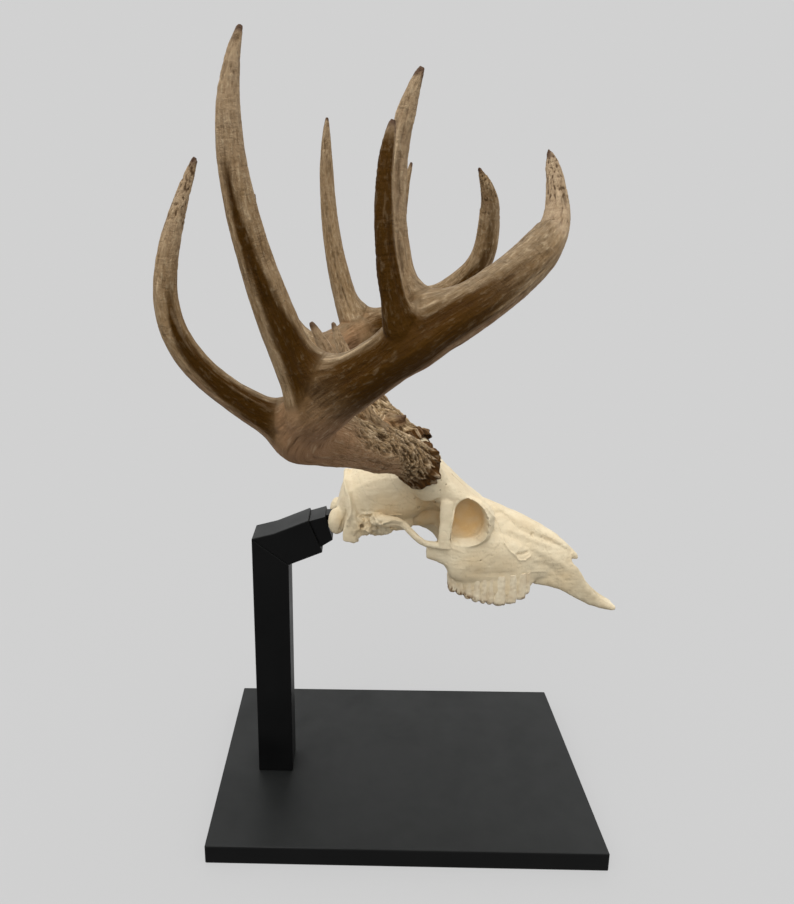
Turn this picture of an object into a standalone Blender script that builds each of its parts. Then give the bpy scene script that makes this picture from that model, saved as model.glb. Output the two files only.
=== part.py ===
"""Whitetail buck skull with both antlers, without its lower jaw, on a black display stand.

Metres, +Z up, +X towards the nose, -Y towards the viewer.
The origin is the centre of the underside of the base board.
The skull's middle plane is y = SKULL_Y. Points on the skull and on an antler are given as
(x, out, z), where out is the distance from that plane, on the side being built.
"""

import math

import bmesh
import bpy
import numpy as np
from mathutils import Matrix, Vector
from mathutils.bvhtree import BVHTree

# Stand: a board, a square bar sawn and joined on a mitre, and a plug in the neck hole.
BASE_WIDTH = 0.375
BASE_DEPTH = 0.250
BASE_HEIGHT = 0.019
BASE_BEVEL = 0.0012
BAR = 0.036
BAR_BEVEL = 0.0008
POST_LEFT = 0.0382 - BASE_WIDTH / 2
POST_INNER_TOP = 0.2560
POST_OUTER_TOP = 0.2835
ARM_SLOPE = math.radians(22.5)
ARM_UNDERSIDE = 0.0362
PLUG_WIDTH = 0.030
PLUG_INSET = 0.0020
PLUG_LIFT = 0.0050
PLUG_NOSE = ((-0.0700, 0.2820), (-0.0772, 0.3060))
TENON_WIDTH = 0.016
TENON = ((-0.0790, 0.2925), (-0.0480, 0.2945), (-0.0480, 0.3070), (-0.0790, 0.3050))

# Where the skull stands, and where an antler leaves it.
SKULL_Y = -0.005
PEDICLE_FOOT = (0.024, 0.032, 0.343)
PEDICLE_RADIUS = 0.0150
BURR_HEIGHT = 0.0110
TIP_RADIUS = 0.0019

GAP = 0.0003
RIGHT = -1
LEFT = 1
SIDE_NAMES = {RIGHT: "right", LEFT: "left"}
BURR_RADIUS = {RIGHT: 0.0240, LEFT: 0.0230}

# The skull hangs a little rolled about its length, with its right side up.
ROLL_AXIS = (0.0, SKULL_Y, 0.300)
ROLL = (
    Matrix.Translation(ROLL_AXIS)
    @ Matrix.Rotation(math.radians(-4.0), 4, "X")
    @ Matrix.Translation(ROLL_AXIS).inverted()
)

# Fineness of the solids.
SKULL_VOXEL = 0.0024
ANTLER_VOXEL = 0.0024
SKULL_TRIANGLES = 3000
ANTLER_TRIANGLES = 1300
RING_SIDES = 20


# ---------------------------------------------------------------- helpers


def clear_scene():
    for thing in list(bpy.data.objects):
        bpy.data.objects.remove(thing, do_unlink=True)


def material(name, colour, roughness):
    made = bpy.data.materials.new(name)
    made.use_nodes = True
    shader = made.node_tree.nodes["Principled BSDF"]
    shader.inputs["Base Color"].default_value = (*colour, 1.0)
    shader.inputs["Roughness"].default_value = roughness
    shader.inputs["Metallic"].default_value = 0.0
    return made


def add_object(name, mesh, finish=None):
    made = bpy.data.objects.new(name, mesh)
    bpy.context.scene.collection.objects.link(made)
    if finish:
        made.data.materials.append(finish)
    return made


def mesh_from_bmesh(bm, name):
    bmesh.ops.recalc_face_normals(bm, faces=bm.faces)
    mesh = bpy.data.meshes.new(name)
    bm.to_mesh(mesh)
    bm.free()
    return mesh


def place(point, side):
    """World point of (x, out, z) on one side of the skull's middle plane."""
    return Vector((point[0], SKULL_Y + side * point[1], point[2]))


def smooth_path(knots, count):
    """Rows spread along the smooth curve through the knots. A knot may hold more than a point."""
    knots = np.array(knots, float)
    ends = [2 * knots[0] - knots[1], *knots, 2 * knots[-1] - knots[-2]]
    rows = []
    for u in np.linspace(0.0, len(knots) - 1.0, count):
        i = min(int(u), len(knots) - 2)
        t = u - i
        a, b, c, d = ends[i : i + 4]
        straight = 2 * b + (c - a) * t
        bend = (2 * a - 5 * b + 4 * c - d) * t**2 + (3 * b - a - 3 * c + d) * t**3
        rows.append((straight + bend) / 2)
    return np.array(rows)


def handle_path(handles, count):
    """Points along the Bezier curve of four handles."""
    a, b, c, d = np.array(handles, float)
    t = np.linspace(0.0, 1.0, count)[:, None]
    return (1 - t) ** 3 * a + 3 * (1 - t) ** 2 * t * b + 3 * (1 - t) * t**2 * c + t**3 * d


def spread(values, count):
    """The values, spaced evenly and read off at count places."""
    return np.interp(np.linspace(0, 1, count), np.linspace(0, 1, len(values)), values)


def closed_loft(bm, rings):
    """Joins rings of as many points each into one closed skin, with a fan at both ends."""
    loops = [[bm.verts.new(point) for point in ring] for ring in rings]
    sides = len(loops[0])
    for here, there in zip(loops, loops[1:]):
        for i in range(sides):
            j = (i + 1) % sides
            bm.faces.new((here[i], here[j], there[j], there[i]))
    for loop in (loops[0], loops[-1]):
        middle = bm.verts.new(sum((v.co for v in loop), Vector()) / sides)
        for i in range(sides):
            bm.faces.new((loop[i], loop[(i + 1) % sides], middle))


def tube(bm, points, radii, side=LEFT, sides=RING_SIDES):
    """A round bar along (x, out, z) points."""
    path = [place(point, side) for point in points]
    across = Vector((0.31, 0.92, 0.24))
    rings = []
    for i, centre in enumerate(path):
        along = (path[min(i + 1, len(path) - 1)] - path[max(i - 1, 0)]).normalized()
        across = (across - along * across.dot(along)).normalized()
        up = along.cross(across)
        ring = []
        for k in range(sides):
            angle = 2 * math.pi * k / sides
            ring.append(centre + (math.cos(angle) * across + math.sin(angle) * up) * float(radii[i]))
        rings.append(ring)
    closed_loft(bm, rings)


def section_body(bm, stations, side=LEFT):
    """A body through upright sections (x, out, top, bottom, half width, squareness).

    A squareness of 2 is an oval, and a higher one is boxier.
    """
    rings = []
    for x, out, top, bottom, half_width, squareness in stations:
        ring = []
        for k in range(RING_SIDES):
            angle = 2 * math.pi * k / RING_SIDES
            c, s = math.cos(angle), math.sin(angle)
            y = half_width * math.copysign(abs(c) ** (2 / squareness), c)
            z = (top - bottom) / 2 * math.copysign(abs(s) ** (2 / squareness), s)
            ring.append(place((x, out + y, (top + bottom) / 2 + z), side))
        rings.append(ring)
    closed_loft(bm, rings)


def oval(bm, centre, radii, side=LEFT, turn=0.0, lean=0.0):
    """An ellipsoid, leaned outwards about X by lean and then turned about Z by turn."""
    shape = (
        Matrix.Translation(place(centre, side))
        @ Matrix.Rotation(side * turn, 4, "Z")
        @ Matrix.Rotation(-side * lean, 4, "X")
        @ Matrix.Diagonal((*radii, 1.0))
    )
    bmesh.ops.create_icosphere(bm, subdivisions=3, radius=1.0, matrix=shape)


def both_sides(build, bm, *values, **options):
    for side in (RIGHT, LEFT):
        build(bm, *values, side=side, **options)


def facing(along):
    """The rotation whose Z points along a direction, with Y as near to upright as it can be."""
    return Vector(along).to_track_quat("Z", "Y").to_matrix().to_4x4()


def disc(bm, centre, along, radius, thickness=GAP):
    """A round cutter, square to along."""
    bmesh.ops.create_cone(
        bm,
        cap_ends=True,
        segments=24,
        radius1=radius,
        radius2=radius,
        depth=thickness,
        matrix=Matrix.Translation(centre) @ facing(along),
    )


def slab(bm, start, end, half_width):
    """A thin upright or leaning cutter across the skull, from (x, z) start to (x, z) end."""
    (x0, z0), (x1, z1) = start, end
    centre = Vector(((x0 + x1) / 2, SKULL_Y, (z0 + z1) / 2))
    size = Matrix.Diagonal((math.dist(start, end), 2 * half_width, GAP, 1.0))
    turn = Matrix.Rotation(-math.atan2(z1 - z0, x1 - x0), 4, "Y")
    bmesh.ops.create_cube(bm, size=1.0, matrix=Matrix.Translation(centre) @ turn @ size)


def profile_bar(bm, outline, width, middle=SKULL_Y):
    """A straight bar whose side view is the (x, z) outline, with its middle at y = middle."""
    near = [bm.verts.new((x, middle - width / 2, z)) for x, z in outline]
    grown = bmesh.ops.extrude_face_region(bm, geom=[bm.faces.new(near)])
    moved = [item for item in grown["geom"] if isinstance(item, bmesh.types.BMVert)]
    bmesh.ops.translate(bm, verts=moved, vec=(0.0, width, 0.0))


def cut_across(path, i, radius):
    """A thin round cutter across a path of points, at point i."""
    bm = bmesh.new()
    disc(bm, path[i], path[i + 1] - path[i], radius)
    return mesh_from_bmesh(bm, "cut")


def evaluated(thing):
    graph = bpy.context.evaluated_depsgraph_get()
    return bpy.data.meshes.new_from_object(thing.evaluated_get(graph))


def fused(mesh, voxel, passes):
    """One skin round all the bodies of a mesh, eased by some passes of smoothing."""
    raw = add_object("raw", mesh)
    remesh = raw.modifiers.new("Fuse", "REMESH")
    remesh.mode = "VOXEL"
    remesh.voxel_size = voxel
    ease = raw.modifiers.new("Ease", "SMOOTH")
    ease.factor = 0.5
    ease.iterations = passes
    skin = evaluated(raw)
    bpy.data.objects.remove(raw, do_unlink=True)
    return skin


def boolean(mesh, cutter_mesh, operation="DIFFERENCE"):
    """The mesh after a Boolean with another mesh."""
    body = add_object("boolean_body", mesh)
    cutter = add_object("boolean_cutter", cutter_mesh)
    cut = body.modifiers.new("Cut", "BOOLEAN")
    cut.operation = operation
    cut.object = cutter
    result = evaluated(body)
    bpy.data.objects.remove(body, do_unlink=True)
    bpy.data.objects.remove(cutter, do_unlink=True)
    return result


def thinned(mesh, triangles):
    """The mesh with about as many triangles as asked for."""
    mesh.calc_loop_triangles()
    body = add_object("thinned_body", mesh)
    thin = body.modifiers.new("Thin", "DECIMATE")
    thin.ratio = min(1.0, triangles / len(mesh.loop_triangles))
    thin.use_collapse_triangulate = True
    result = evaluated(body)
    bpy.data.objects.remove(body, do_unlink=True)
    return result


def loose_parts(mesh):
    """The mesh's separate bodies, as new meshes, largest first."""
    bm = bmesh.new()
    bm.from_mesh(mesh)
    groups = []
    seen = set()
    for start in bm.verts:
        if start in seen:
            continue
        seen.add(start)
        group = []
        waiting = [start]
        while waiting:
            vert = waiting.pop()
            group.append(vert)
            reached = [edge.other_vert(vert) for edge in vert.link_edges]
            fresh = [other for other in reached if other not in seen]
            seen.update(fresh)
            waiting.extend(dict.fromkeys(fresh))
        groups.append(group)
    meshes = []
    for group in sorted(groups, key=len, reverse=True):
        part = bmesh.new()
        copies = {vert: part.verts.new(vert.co) for vert in group}
        faces = dict.fromkeys(face for vert in group for face in vert.link_faces)
        for face in faces:
            part.faces.new([copies[vert] for vert in face.verts])
        meshes.append(mesh_from_bmesh(part, "part"))
    bm.free()
    return meshes


def distance_to(mesh, point):
    """How far a point is from the nearest face of a mesh."""
    tree = BVHTree.FromPolygons([v.co for v in mesh.vertices], [p.vertices for p in mesh.polygons])
    return tree.find_nearest(point)[3]


def name_parts(mesh, marks, finish):
    """Makes an object of each body of the mesh, named after the mark that lies on it."""
    left = dict(marks)
    for part in loose_parts(mesh):
        reach = {name: distance_to(part, mark) for name, mark in left.items()}
        name = min(reach, key=reach.get)
        del left[name]
        made = add_object(name, part, finish)
        made.data.shade_smooth()
        made.data.set_sharp_from_angle(angle=math.radians(40))


# ---------------------------------------------------------------- stand


def bevelled(name, bm, width, finish):
    made = add_object(name, mesh_from_bmesh(bm, name), finish)
    bevel = made.modifiers.new("Bevel", "BEVEL")
    bevel.width = width
    bevel.segments = 2


def build_stand(finish):
    base = bmesh.new()
    size = Matrix.Diagonal((BASE_WIDTH, BASE_DEPTH, BASE_HEIGHT, 1.0))
    bmesh.ops.create_cube(base, size=1.0, matrix=Matrix.Translation((0, 0, BASE_HEIGHT / 2)) @ size)
    bevelled("stand_base", base, BASE_BEVEL, finish)

    # The mitre between post and arm runs from the inner to the outer corner.
    inner = Vector((POST_LEFT + BAR, POST_INNER_TOP))
    outer = Vector((POST_LEFT, POST_OUTER_TOP))
    foot = BASE_HEIGHT + GAP
    lower = Vector((0.0, -GAP))
    post = bmesh.new()
    profile_bar(post, [(outer.x, foot), (inner.x, foot), inner + lower, outer + lower], BAR)
    bevelled("stand_post", post, BAR_BEVEL, finish)

    along = Vector((math.cos(ARM_SLOPE), math.sin(ARM_SLOPE)))
    across = Vector((-along.y, along.x))
    end_low = inner + along * ARM_UNDERSIDE
    end_high = end_low + across * BAR
    knee = inner + across * BAR
    arm = bmesh.new()
    profile_bar(arm, [inner, end_low, end_high, knee, outer], BAR)
    bevelled("stand_arm", arm, BAR_BEVEL, finish)

    # The plug narrows to a tenon that goes into the hole at the back of the skull.
    beyond = along * GAP
    low = end_low + across * PLUG_LIFT + beyond
    high = end_high - across * PLUG_INSET + beyond
    plug = bmesh.new()
    profile_bar(plug, [low, *PLUG_NOSE, high], PLUG_WIDTH)
    tenon = bmesh.new()
    profile_bar(tenon, TENON, TENON_WIDTH)
    joined = boolean(mesh_from_bmesh(plug, "plug"), mesh_from_bmesh(tenon, "tenon"), "UNION")
    add_object("stand_plug", joined, finish)


# ---------------------------------------------------------------- skull


def add_braincase(bm):
    section_body(
        bm,
        [
            (-0.0660, 0.0, 0.316, 0.295, 0.014, 2.2),
            (-0.0590, 0.0, 0.338, 0.292, 0.026, 2.3),
            (-0.0450, 0.0, 0.353, 0.293, 0.037, 2.3),
            (-0.0200, 0.0, 0.360, 0.295, 0.039, 2.2),
            (0.0050, 0.0, 0.365, 0.301, 0.037, 2.2),
            (0.0170, 0.0, 0.360, 0.3095, 0.033, 2.2),
            (0.0300, 0.0, 0.352, 0.3105, 0.029, 2.2),
            (0.0500, 0.0, 0.336, 0.304, 0.025, 2.2),
        ],
    )
    # The crest round the back of the head.
    crest = [(-0.046, 0.040, 0.300), (-0.052, 0.0375, 0.320), (-0.0555, 0.025, 0.338), (-0.0565, 0.0, 0.3465)]
    both_sides(tube, bm, smooth_path(crest, 12), spread([0.0045, 0.0045, 0.0038, 0.0035], 12))


def add_skull_base(bm):
    # Neck joints, the processes beside them, and the ear bones.
    both_sides(oval, bm, (-0.0655, 0.0175, 0.3020), (0.0085, 0.0085, 0.0132), turn=0.5)
    process = [(-0.045, 0.0340, 0.312), (-0.0510, 0.0365, 0.2960), (-0.0520, 0.0372, 0.2885)]
    both_sides(tube, bm, process, [0.0105, 0.0090, 0.0070])
    both_sides(oval, bm, (-0.0270, 0.0240, 0.2975), (0.0160, 0.0080, 0.0080), turn=0.3)
    both_sides(oval, bm, (-0.0060, 0.0190, 0.3005), (0.0150, 0.0080, 0.0070))
    keel = [(-0.062, 0, 0.299), (-0.020, 0, 0.3015), (0.016, 0, 0.3095), (0.038, 0, 0.305), (0.055, 0, 0.276)]
    tube(bm, smooth_path(keel, 14), spread([0.010, 0.009, 0.008, 0.009, 0.012], 14))
    wings = [
        (0.032, 0.018, 0.308, 0.3000, 0.0025, 2.4),
        (0.042, 0.019, 0.305, 0.2740, 0.0030, 2.4),
        (0.052, 0.021, 0.300, 0.2600, 0.0040, 2.4),
    ]
    both_sides(section_body, bm, wings)


def add_forehead(bm):
    section_body(
        bm,
        [
            (0.002, 0.0, 0.366, 0.335, 0.030, 2.6),
            (0.015, 0.0, 0.369, 0.330, 0.041, 3.0),
            (0.030, 0.0, 0.3620, 0.318, 0.050, 2.9),
            (0.046, 0.0, 0.3485, 0.306, 0.050, 2.8),
            (0.063, 0.0, 0.3320, 0.296, 0.044, 2.7),
            (0.082, 0.0, 0.316, 0.285, 0.034, 2.5),
        ],
    )
    # Brow, rear bar and lower rim of the orbit, which is hollowed out later.
    both_sides(oval, bm, (0.0570, 0.0375, 0.3085), (0.0260, 0.0235, 0.0245), turn=-0.20)


def add_face(bm):
    section_body(
        bm,
        [
            (0.040, 0.0, 0.343, 0.262, 0.034, 2.4),
            (0.060, 0.0, 0.332, 0.256, 0.037, 2.3),
            (0.080, 0.0, 0.3185, 0.250, 0.0365, 2.2),
            (0.100, 0.0, 0.3095, 0.246, 0.0305, 2.1),
            (0.120, 0.0, 0.2995, 0.240, 0.0250, 2.1),
            (0.145, 0.0, 0.2850, 0.235, 0.0205, 2.1),
            (0.164, 0.0, 0.2700, 0.227, 0.0175, 2.2),
        ],
    )
    nasals = [
        (0.078, 0.0, 0.3205, 0.3000, 0.017, 2.6),
        (0.100, 0.0, 0.3112, 0.2900, 0.017, 2.6),
        (0.130, 0.0, 0.2967, 0.2740, 0.015, 2.6),
        (0.155, 0.0, 0.2805, 0.2640, 0.013, 2.6),
        (0.166, 0.0, 0.2700, 0.2600, 0.010, 2.6),
        (0.172, 0.0, 0.2640, 0.2590, 0.006, 2.4),
    ]
    section_body(bm, nasals)
    # Cheek, from below the orbit to above the tooth row.
    cheek = [
        (0.018, 0.049, 0.2880, 0.2760, 0.004, 2.2),
        (0.028, 0.047, 0.2925, 0.2725, 0.006, 2.3),
        (0.036, 0.044, 0.2955, 0.2665, 0.009, 2.4),
        (0.044, 0.042, 0.2975, 0.2540, 0.011, 2.4),
        (0.070, 0.035, 0.3000, 0.2460, 0.013, 2.4),
        (0.100, 0.028, 0.2900, 0.2430, 0.012, 2.3),
        (0.124, 0.022, 0.2700, 0.2410, 0.007, 2.2),
    ]
    both_sides(section_body, bm, cheek)
    # Tooth row, one body with the jaw that it grows from.
    teeth = [
        (0.0415, 0.0350, 0.272, 0.2415, 0.0060, 3.0),
        (0.0530, 0.0350, 0.272, 0.2352, 0.0080, 3.0),
        (0.0680, 0.0345, 0.272, 0.2287, 0.0085, 3.0),
        (0.0900, 0.0320, 0.270, 0.2248, 0.0080, 3.0),
        (0.1060, 0.0290, 0.266, 0.2265, 0.0068, 3.0),
        (0.1160, 0.0265, 0.262, 0.2305, 0.0050, 3.0),
        (0.1200, 0.0255, 0.258, 0.2400, 0.0040, 3.0),
    ]
    both_sides(section_body, bm, teeth)
    # Front jaw bones, two blades that meet at the tip.
    blades = [
        (0.1250, 0.0170, 0.2620, 0.2390, 0.0040, 2.4),
        (0.1480, 0.0165, 0.2600, 0.2342, 0.0040, 2.4),
        (0.1660, 0.0155, 0.2590, 0.2245, 0.0038, 2.4),
        (0.1800, 0.0140, 0.2375, 0.2175, 0.0044, 2.4),
        (0.1960, 0.0115, 0.2205, 0.2118, 0.0052, 2.4),
        (0.2055, 0.0085, 0.2148, 0.2092, 0.0052, 2.4),
        (0.2108, 0.0060, 0.2122, 0.2092, 0.0038, 2.2),
    ]
    both_sides(section_body, bm, blades)
    oval(bm, (0.2010, 0.0, 0.2130), (0.0080, 0.0120, 0.0028))


# The cheek arch, the thin bar on each side from the cheek back to the jaw joint, as knots
# (x, out, z, radius), and the knot numbers of the cuts through it, each with its cutter's radius.
ARCH = (
    (0.0460, 0.0530, 0.2880, 0.0052),
    (0.0338, 0.0555, 0.2900, 0.0038),
    (0.0219, 0.0580, 0.2922, 0.0032),
    (0.0140, 0.0600, 0.2954, 0.0031),
    (0.0082, 0.0600, 0.3000, 0.0031),
    (0.0025, 0.0580, 0.3052, 0.0031),
    (-0.0030, 0.0545, 0.3100, 0.0034),
    (-0.0100, 0.0500, 0.3118, 0.0045),
    (-0.0200, 0.0450, 0.3105, 0.0058),
    (-0.0300, 0.0360, 0.3100, 0.0060),
)
ARCH_CUTS = ((2.9, 0.0080), (6.0, 0.0080))


def add_cheek_arches(bm):
    path = smooth_path(ARCH, 28)
    both_sides(tube, bm, path[:, :3], path[:, 3])


# How much lower the left brow is than the right one, and where along, out and up that sets in.
LEFT_BROW_DROP = 0.0090
BROW_REAR = (0.030, 0.050)
BROW_FRONT = (0.100, 0.072)
BROW_OUT = (0.010, 0.034)
BROW_UP = (0.292, 0.320)


def eased(value, low, high):
    """0 before low, 1 past high, and a smooth step between them. low may be the higher one."""
    t = min(max((value - low) / (high - low), 0.0), 1.0)
    return t * t * (3 - 2 * t)


def lower_left_brow(bm):
    for vert in bm.verts:
        x, y, z = vert.co
        share = eased(x, *BROW_REAR) * eased(x, *BROW_FRONT)
        share *= eased(y - SKULL_Y, *BROW_OUT) * eased(z, *BROW_UP)
        vert.co.z -= LEFT_BROW_DROP * share


def skull_hollows():
    """What is open in the skull: the orbits, the nose, the arch of the palate and its slot."""
    bm = bmesh.new()
    both_sides(oval, bm, (0.0580, 0.0585, 0.3095), (0.0190, 0.0330, 0.0215), turn=-0.15, lean=0.10)
    lower_left_brow(bm)
    nose = [(0.205, 0, 0.233), (0.178, 0, 0.2445), (0.155, 0, 0.2550), (0.125, 0, 0.2640)]
    tube(bm, smooth_path(nose, 12), spread([0.0100, 0.0115, 0.0120, 0.0080], 12))
    oval(bm, (0.0800, 0.0, 0.2400), (0.0520, 0.0180, 0.0120))
    tube(bm, [(0.150, 0, 0.226), (0.165, 0, 0.224), (0.192, 0, 0.215)], [0.004, 0.0055, 0.003])
    return fused(mesh_from_bmesh(bm, "hollows"), SKULL_VOXEL, 1)


def neck_hole():
    bm = bmesh.new()
    tube(bm, [(-0.085, 0, 0.2985), (-0.040, 0, 0.3015)], [0.0125, 0.0115], sides=24)
    return mesh_from_bmesh(bm, "neck_hole")


def burr_seat(side):
    """The middle of the flat between pedicle and burr, and the way that it faces."""
    centre, above = (place(knot, side) for knot in ANTLERS[side]["beam"][:2])
    return centre, (above - centre).normalized()


def add_pedicles(bm):
    for side in (RIGHT, LEFT):
        ends = [PEDICLE_FOOT, ANTLERS[side]["beam"][0]]
        tube(bm, ends, [PEDICLE_RADIUS * 1.15, PEDICLE_RADIUS], side)


def burr_clearings():
    """The room that each antler's base takes, down to a flat that the pedicle ends on."""
    bm = bmesh.new()
    height = 0.045
    for side in (RIGHT, LEFT):
        centre, along = burr_seat(side)
        disc(bm, centre + along * (height / 2 - GAP), along, BURR_RADIUS[side] * 1.4, height)
    return mesh_from_bmesh(bm, "clearings")


# Corners of the cuts between the bones, as (x, z), and how far out each cut goes.
OCCIPUT_CUT = ((-0.0420, 0.270), (-0.0520, 0.375), 0.060)
CORONAL_CUT = ((0.0300, 0.258), (-0.0220, 0.381), 0.047)
BROW_CUT = ((0.0134, 0.2964), (0.0950, 0.3237), 0.047)
ORBIT_CUT = ((0.0250, 0.3003), (0.0950, 0.3237), 0.080)
NASAL_CUT = ((0.0698, 0.3153), (0.1850, 0.2479), 0.0146)
NASAL_SIDES = (NASAL_CUT[0], NASAL_CUT[1], (0.1850, 0.2900), BROW_CUT[1])
NASAL_HALF_WIDTH = 0.0145
PREMAXILLA_CUT = ((0.1672, 0.2586), (0.1580, 0.2150), 0.035)
SKULL_MARKS = {
    "skull_occiput": place((-0.0620, 0.0, 0.3500), LEFT),
    "skull_braincase": place((-0.0200, 0.0, 0.3630), LEFT),
    "skull_frontal": place((0.0400, 0.0, 0.3495), LEFT),
    "skull_nasal": place((0.1200, 0.0, 0.2995), LEFT),
    "skull_face": place((0.0900, 0.0320, 0.2262), LEFT),
    "skull_premaxilla": place((0.2050, 0.0, 0.2140), LEFT),
    "skull_arch_right": place((0.0082, 0.0631, 0.3000), RIGHT),
    "skull_arch_left": place((0.0082, 0.0631, 0.3000), LEFT),
}


def bone_cuts():
    """One thin cutter for each cut between two bones."""
    cutters = []
    for start, end, half_width in (
        OCCIPUT_CUT,
        CORONAL_CUT,
        BROW_CUT,
        ORBIT_CUT,
        NASAL_CUT,
        PREMAXILLA_CUT,
    ):
        bm = bmesh.new()
        slab(bm, start, end, half_width)
        cutters.append(mesh_from_bmesh(bm, "slab"))
    fine = 20
    rows = smooth_path(ARCH, fine * (len(ARCH) - 1) + 1)
    for side in (RIGHT, LEFT):
        bm = bmesh.new()
        profile_bar(bm, NASAL_SIDES, GAP, SKULL_Y + side * NASAL_HALF_WIDTH)
        cutters.append(mesh_from_bmesh(bm, "sheet"))
        path = [place(row, side) for row in rows]
        cutters.extend(cut_across(path, round(knot * fine), radius) for knot, radius in ARCH_CUTS)
    return cutters


def rolled(mesh):
    mesh.transform(ROLL)
    return mesh


def build_skull(finish):
    bm = bmesh.new()
    add_braincase(bm)
    add_skull_base(bm)
    add_forehead(bm)
    add_face(bm)
    add_cheek_arches(bm)
    lower_left_brow(bm)
    bmesh.ops.transform(bm, matrix=ROLL, verts=bm.verts)
    add_pedicles(bm)
    whole = fused(mesh_from_bmesh(bm, "skull"), SKULL_VOXEL, 1)
    whole = fused(boolean(whole, rolled(skull_hollows())), SKULL_VOXEL, 1)
    whole = thinned(whole, SKULL_TRIANGLES)
    for cutter in (neck_hole(), burr_clearings(), *map(rolled, bone_cuts())):
        whole = boolean(whole, cutter)
    name_parts(whole, {name: ROLL @ mark for name, mark in SKULL_MARKS.items()}, finish)


# ---------------------------------------------------------------- antlers

# A beam is its knots (x, out, z, radius), from the burr to the tip, and its cuts as knot numbers,
# each with the cutter's reach in beam radii.
# A tine is the four handles of its curve, its radii from root to tip, and where it is cut off.
RIGHT_ANTLER = {
    "beam": [
        (0.011, 0.044, 0.367, 0.0180),
        (-0.013, 0.072, 0.388, 0.0182),
        (-0.042, 0.112, 0.4055, 0.0188),
        (-0.069, 0.150, 0.423, 0.0210),
        (-0.084, 0.172, 0.437, 0.0226),
        (-0.067, 0.198, 0.459, 0.0208),
        (-0.033, 0.223, 0.489, 0.0182),
        (0.004, 0.233, 0.5165, 0.0168),
        (0.040, 0.221, 0.539, 0.0148),
        (0.067, 0.200, 0.559, 0.0134),
        (0.0845, 0.182, 0.580, 0.0104),
        (0.0875, 0.168, 0.603, 0.0073),
        (0.0850, 0.159, 0.620, 0.0046),
        (0.0820, 0.156, 0.628, TIP_RADIUS),
    ],
    "beam_cuts": ((2.9, 1.5), (8.2, 1.5)),
    "tines": {
        "brow_tine": (
            ((-0.030, 0.098, 0.402), (-0.050, 0.098, 0.440), (-0.066, 0.103, 0.473), (-0.083, 0.106, 0.505)),
            (0.0130, 0.0100, 0.0082, 0.0060, TIP_RADIUS),
            0.32,
        ),
        "second_tine": (
            ((-0.086, 0.170, 0.433), (-0.1845, 0.209, 0.487), (-0.184, 0.222, 0.5255), (-0.149, 0.190, 0.624)),
            (0.0150, 0.0104, 0.0091, 0.0077, 0.0064, TIP_RADIUS),
            0.17,
        ),
        "third_tine": (
            ((-0.076, 0.196, 0.460), (-0.1055, 0.218, 0.534), (-0.140, 0.231, 0.618), (-0.115, 0.213, 0.695)),
            (0.0175, 0.0132, 0.0111, 0.0096, 0.0073, TIP_RADIUS),
            0.22,
        ),
        "fourth_tine": (
            ((-0.009, 0.222, 0.513), (-0.029, 0.206, 0.565), (-0.027, 0.212, 0.628), (-0.0095, 0.208, 0.671)),
            (0.0130, 0.0083, 0.0070, 0.0066, 0.0060, TIP_RADIUS),
            0.32,
        ),
        "extra_tine": (
            ((-0.016, 0.234, 0.510), (-0.034, 0.252, 0.551), (-0.034, 0.243, 0.606), (-0.026, 0.236, 0.639)),
            (0.0115, 0.0076, 0.0062, 0.0056, 0.0046, TIP_RADIUS),
            0.34,
        ),
    },
}
LEFT_ANTLER = {
    "beam": [
        (0.011, 0.052, 0.3605, 0.0165),
        (-0.014, 0.082, 0.3775, 0.0165),
        (-0.046, 0.120, 0.397, 0.0168),
        (-0.072, 0.152, 0.420, 0.0180),
        (-0.085, 0.172, 0.436, 0.0185),
        (-0.070, 0.192, 0.446, 0.0180),
        (-0.032, 0.210, 0.4635, 0.0168),
        (0.017, 0.217, 0.482, 0.0160),
        (0.064, 0.208, 0.507, 0.0148),
        (0.095, 0.186, 0.544, 0.0134),
        (0.0985, 0.166, 0.595, 0.0106),
        (0.0920, 0.153, 0.620, 0.0076),
        (0.0810, 0.144, 0.640, TIP_RADIUS),
    ],
    "beam_cuts": ((2.9, 1.5), (8.1, 1.5)),
    "tines": {
        "brow_tine": (
            ((-0.030, 0.098, 0.392), (-0.046, 0.099, 0.417), (-0.062, 0.107, 0.447), (-0.073, 0.108, 0.480)),
            (0.0125, 0.0100, 0.0088, 0.0062, TIP_RADIUS),
            0.52,
        ),
        "second_tine": (
            ((-0.083, 0.168, 0.436), (-0.138, 0.192, 0.461), (-0.180, 0.214, 0.553), (-0.166, 0.200, 0.617)),
            (0.0150, 0.0106, 0.0093, 0.0086, 0.0074, TIP_RADIUS),
            0.18,
        ),
        "third_tine": (
            ((-0.044, 0.204, 0.452), (-0.080, 0.219, 0.528), (-0.086, 0.212, 0.617), (-0.082, 0.209, 0.700)),
            (0.0170, 0.0132, 0.0114, 0.0092, 0.0074, TIP_RADIUS),
            0.18,
        ),
        "fourth_tine": (
            ((0.017, 0.217, 0.482), (-0.002, 0.223, 0.538), (0.000, 0.218, 0.596), (0.015, 0.216, 0.652)),
            (0.0150, 0.0095, 0.0080, 0.0067, 0.0052, TIP_RADIUS),
            0.22,
        ),
    },
}
ANTLERS = {RIGHT: RIGHT_ANTLER, LEFT: LEFT_ANTLER}
BEAM_PIECES = ("beam_base", "beam_middle", "beam_tip")
TINE_CUT_REACH = 1.5
TIP_ROUNDING = 0.65


def tapered(girth, count):
    """Radii spread along a tine, with a rounded rather than a straight taper to its tip."""
    radii = spread(girth, count)
    last = 1 - 1 / (len(girth) - 1)
    left = np.clip((1 - np.linspace(0, 1, count)) / (1 - last), 0, 1)
    rounded = girth[-1] + (girth[-2] - girth[-1]) * left**TIP_ROUNDING
    return np.where(left < 1, rounded, radii)


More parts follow.
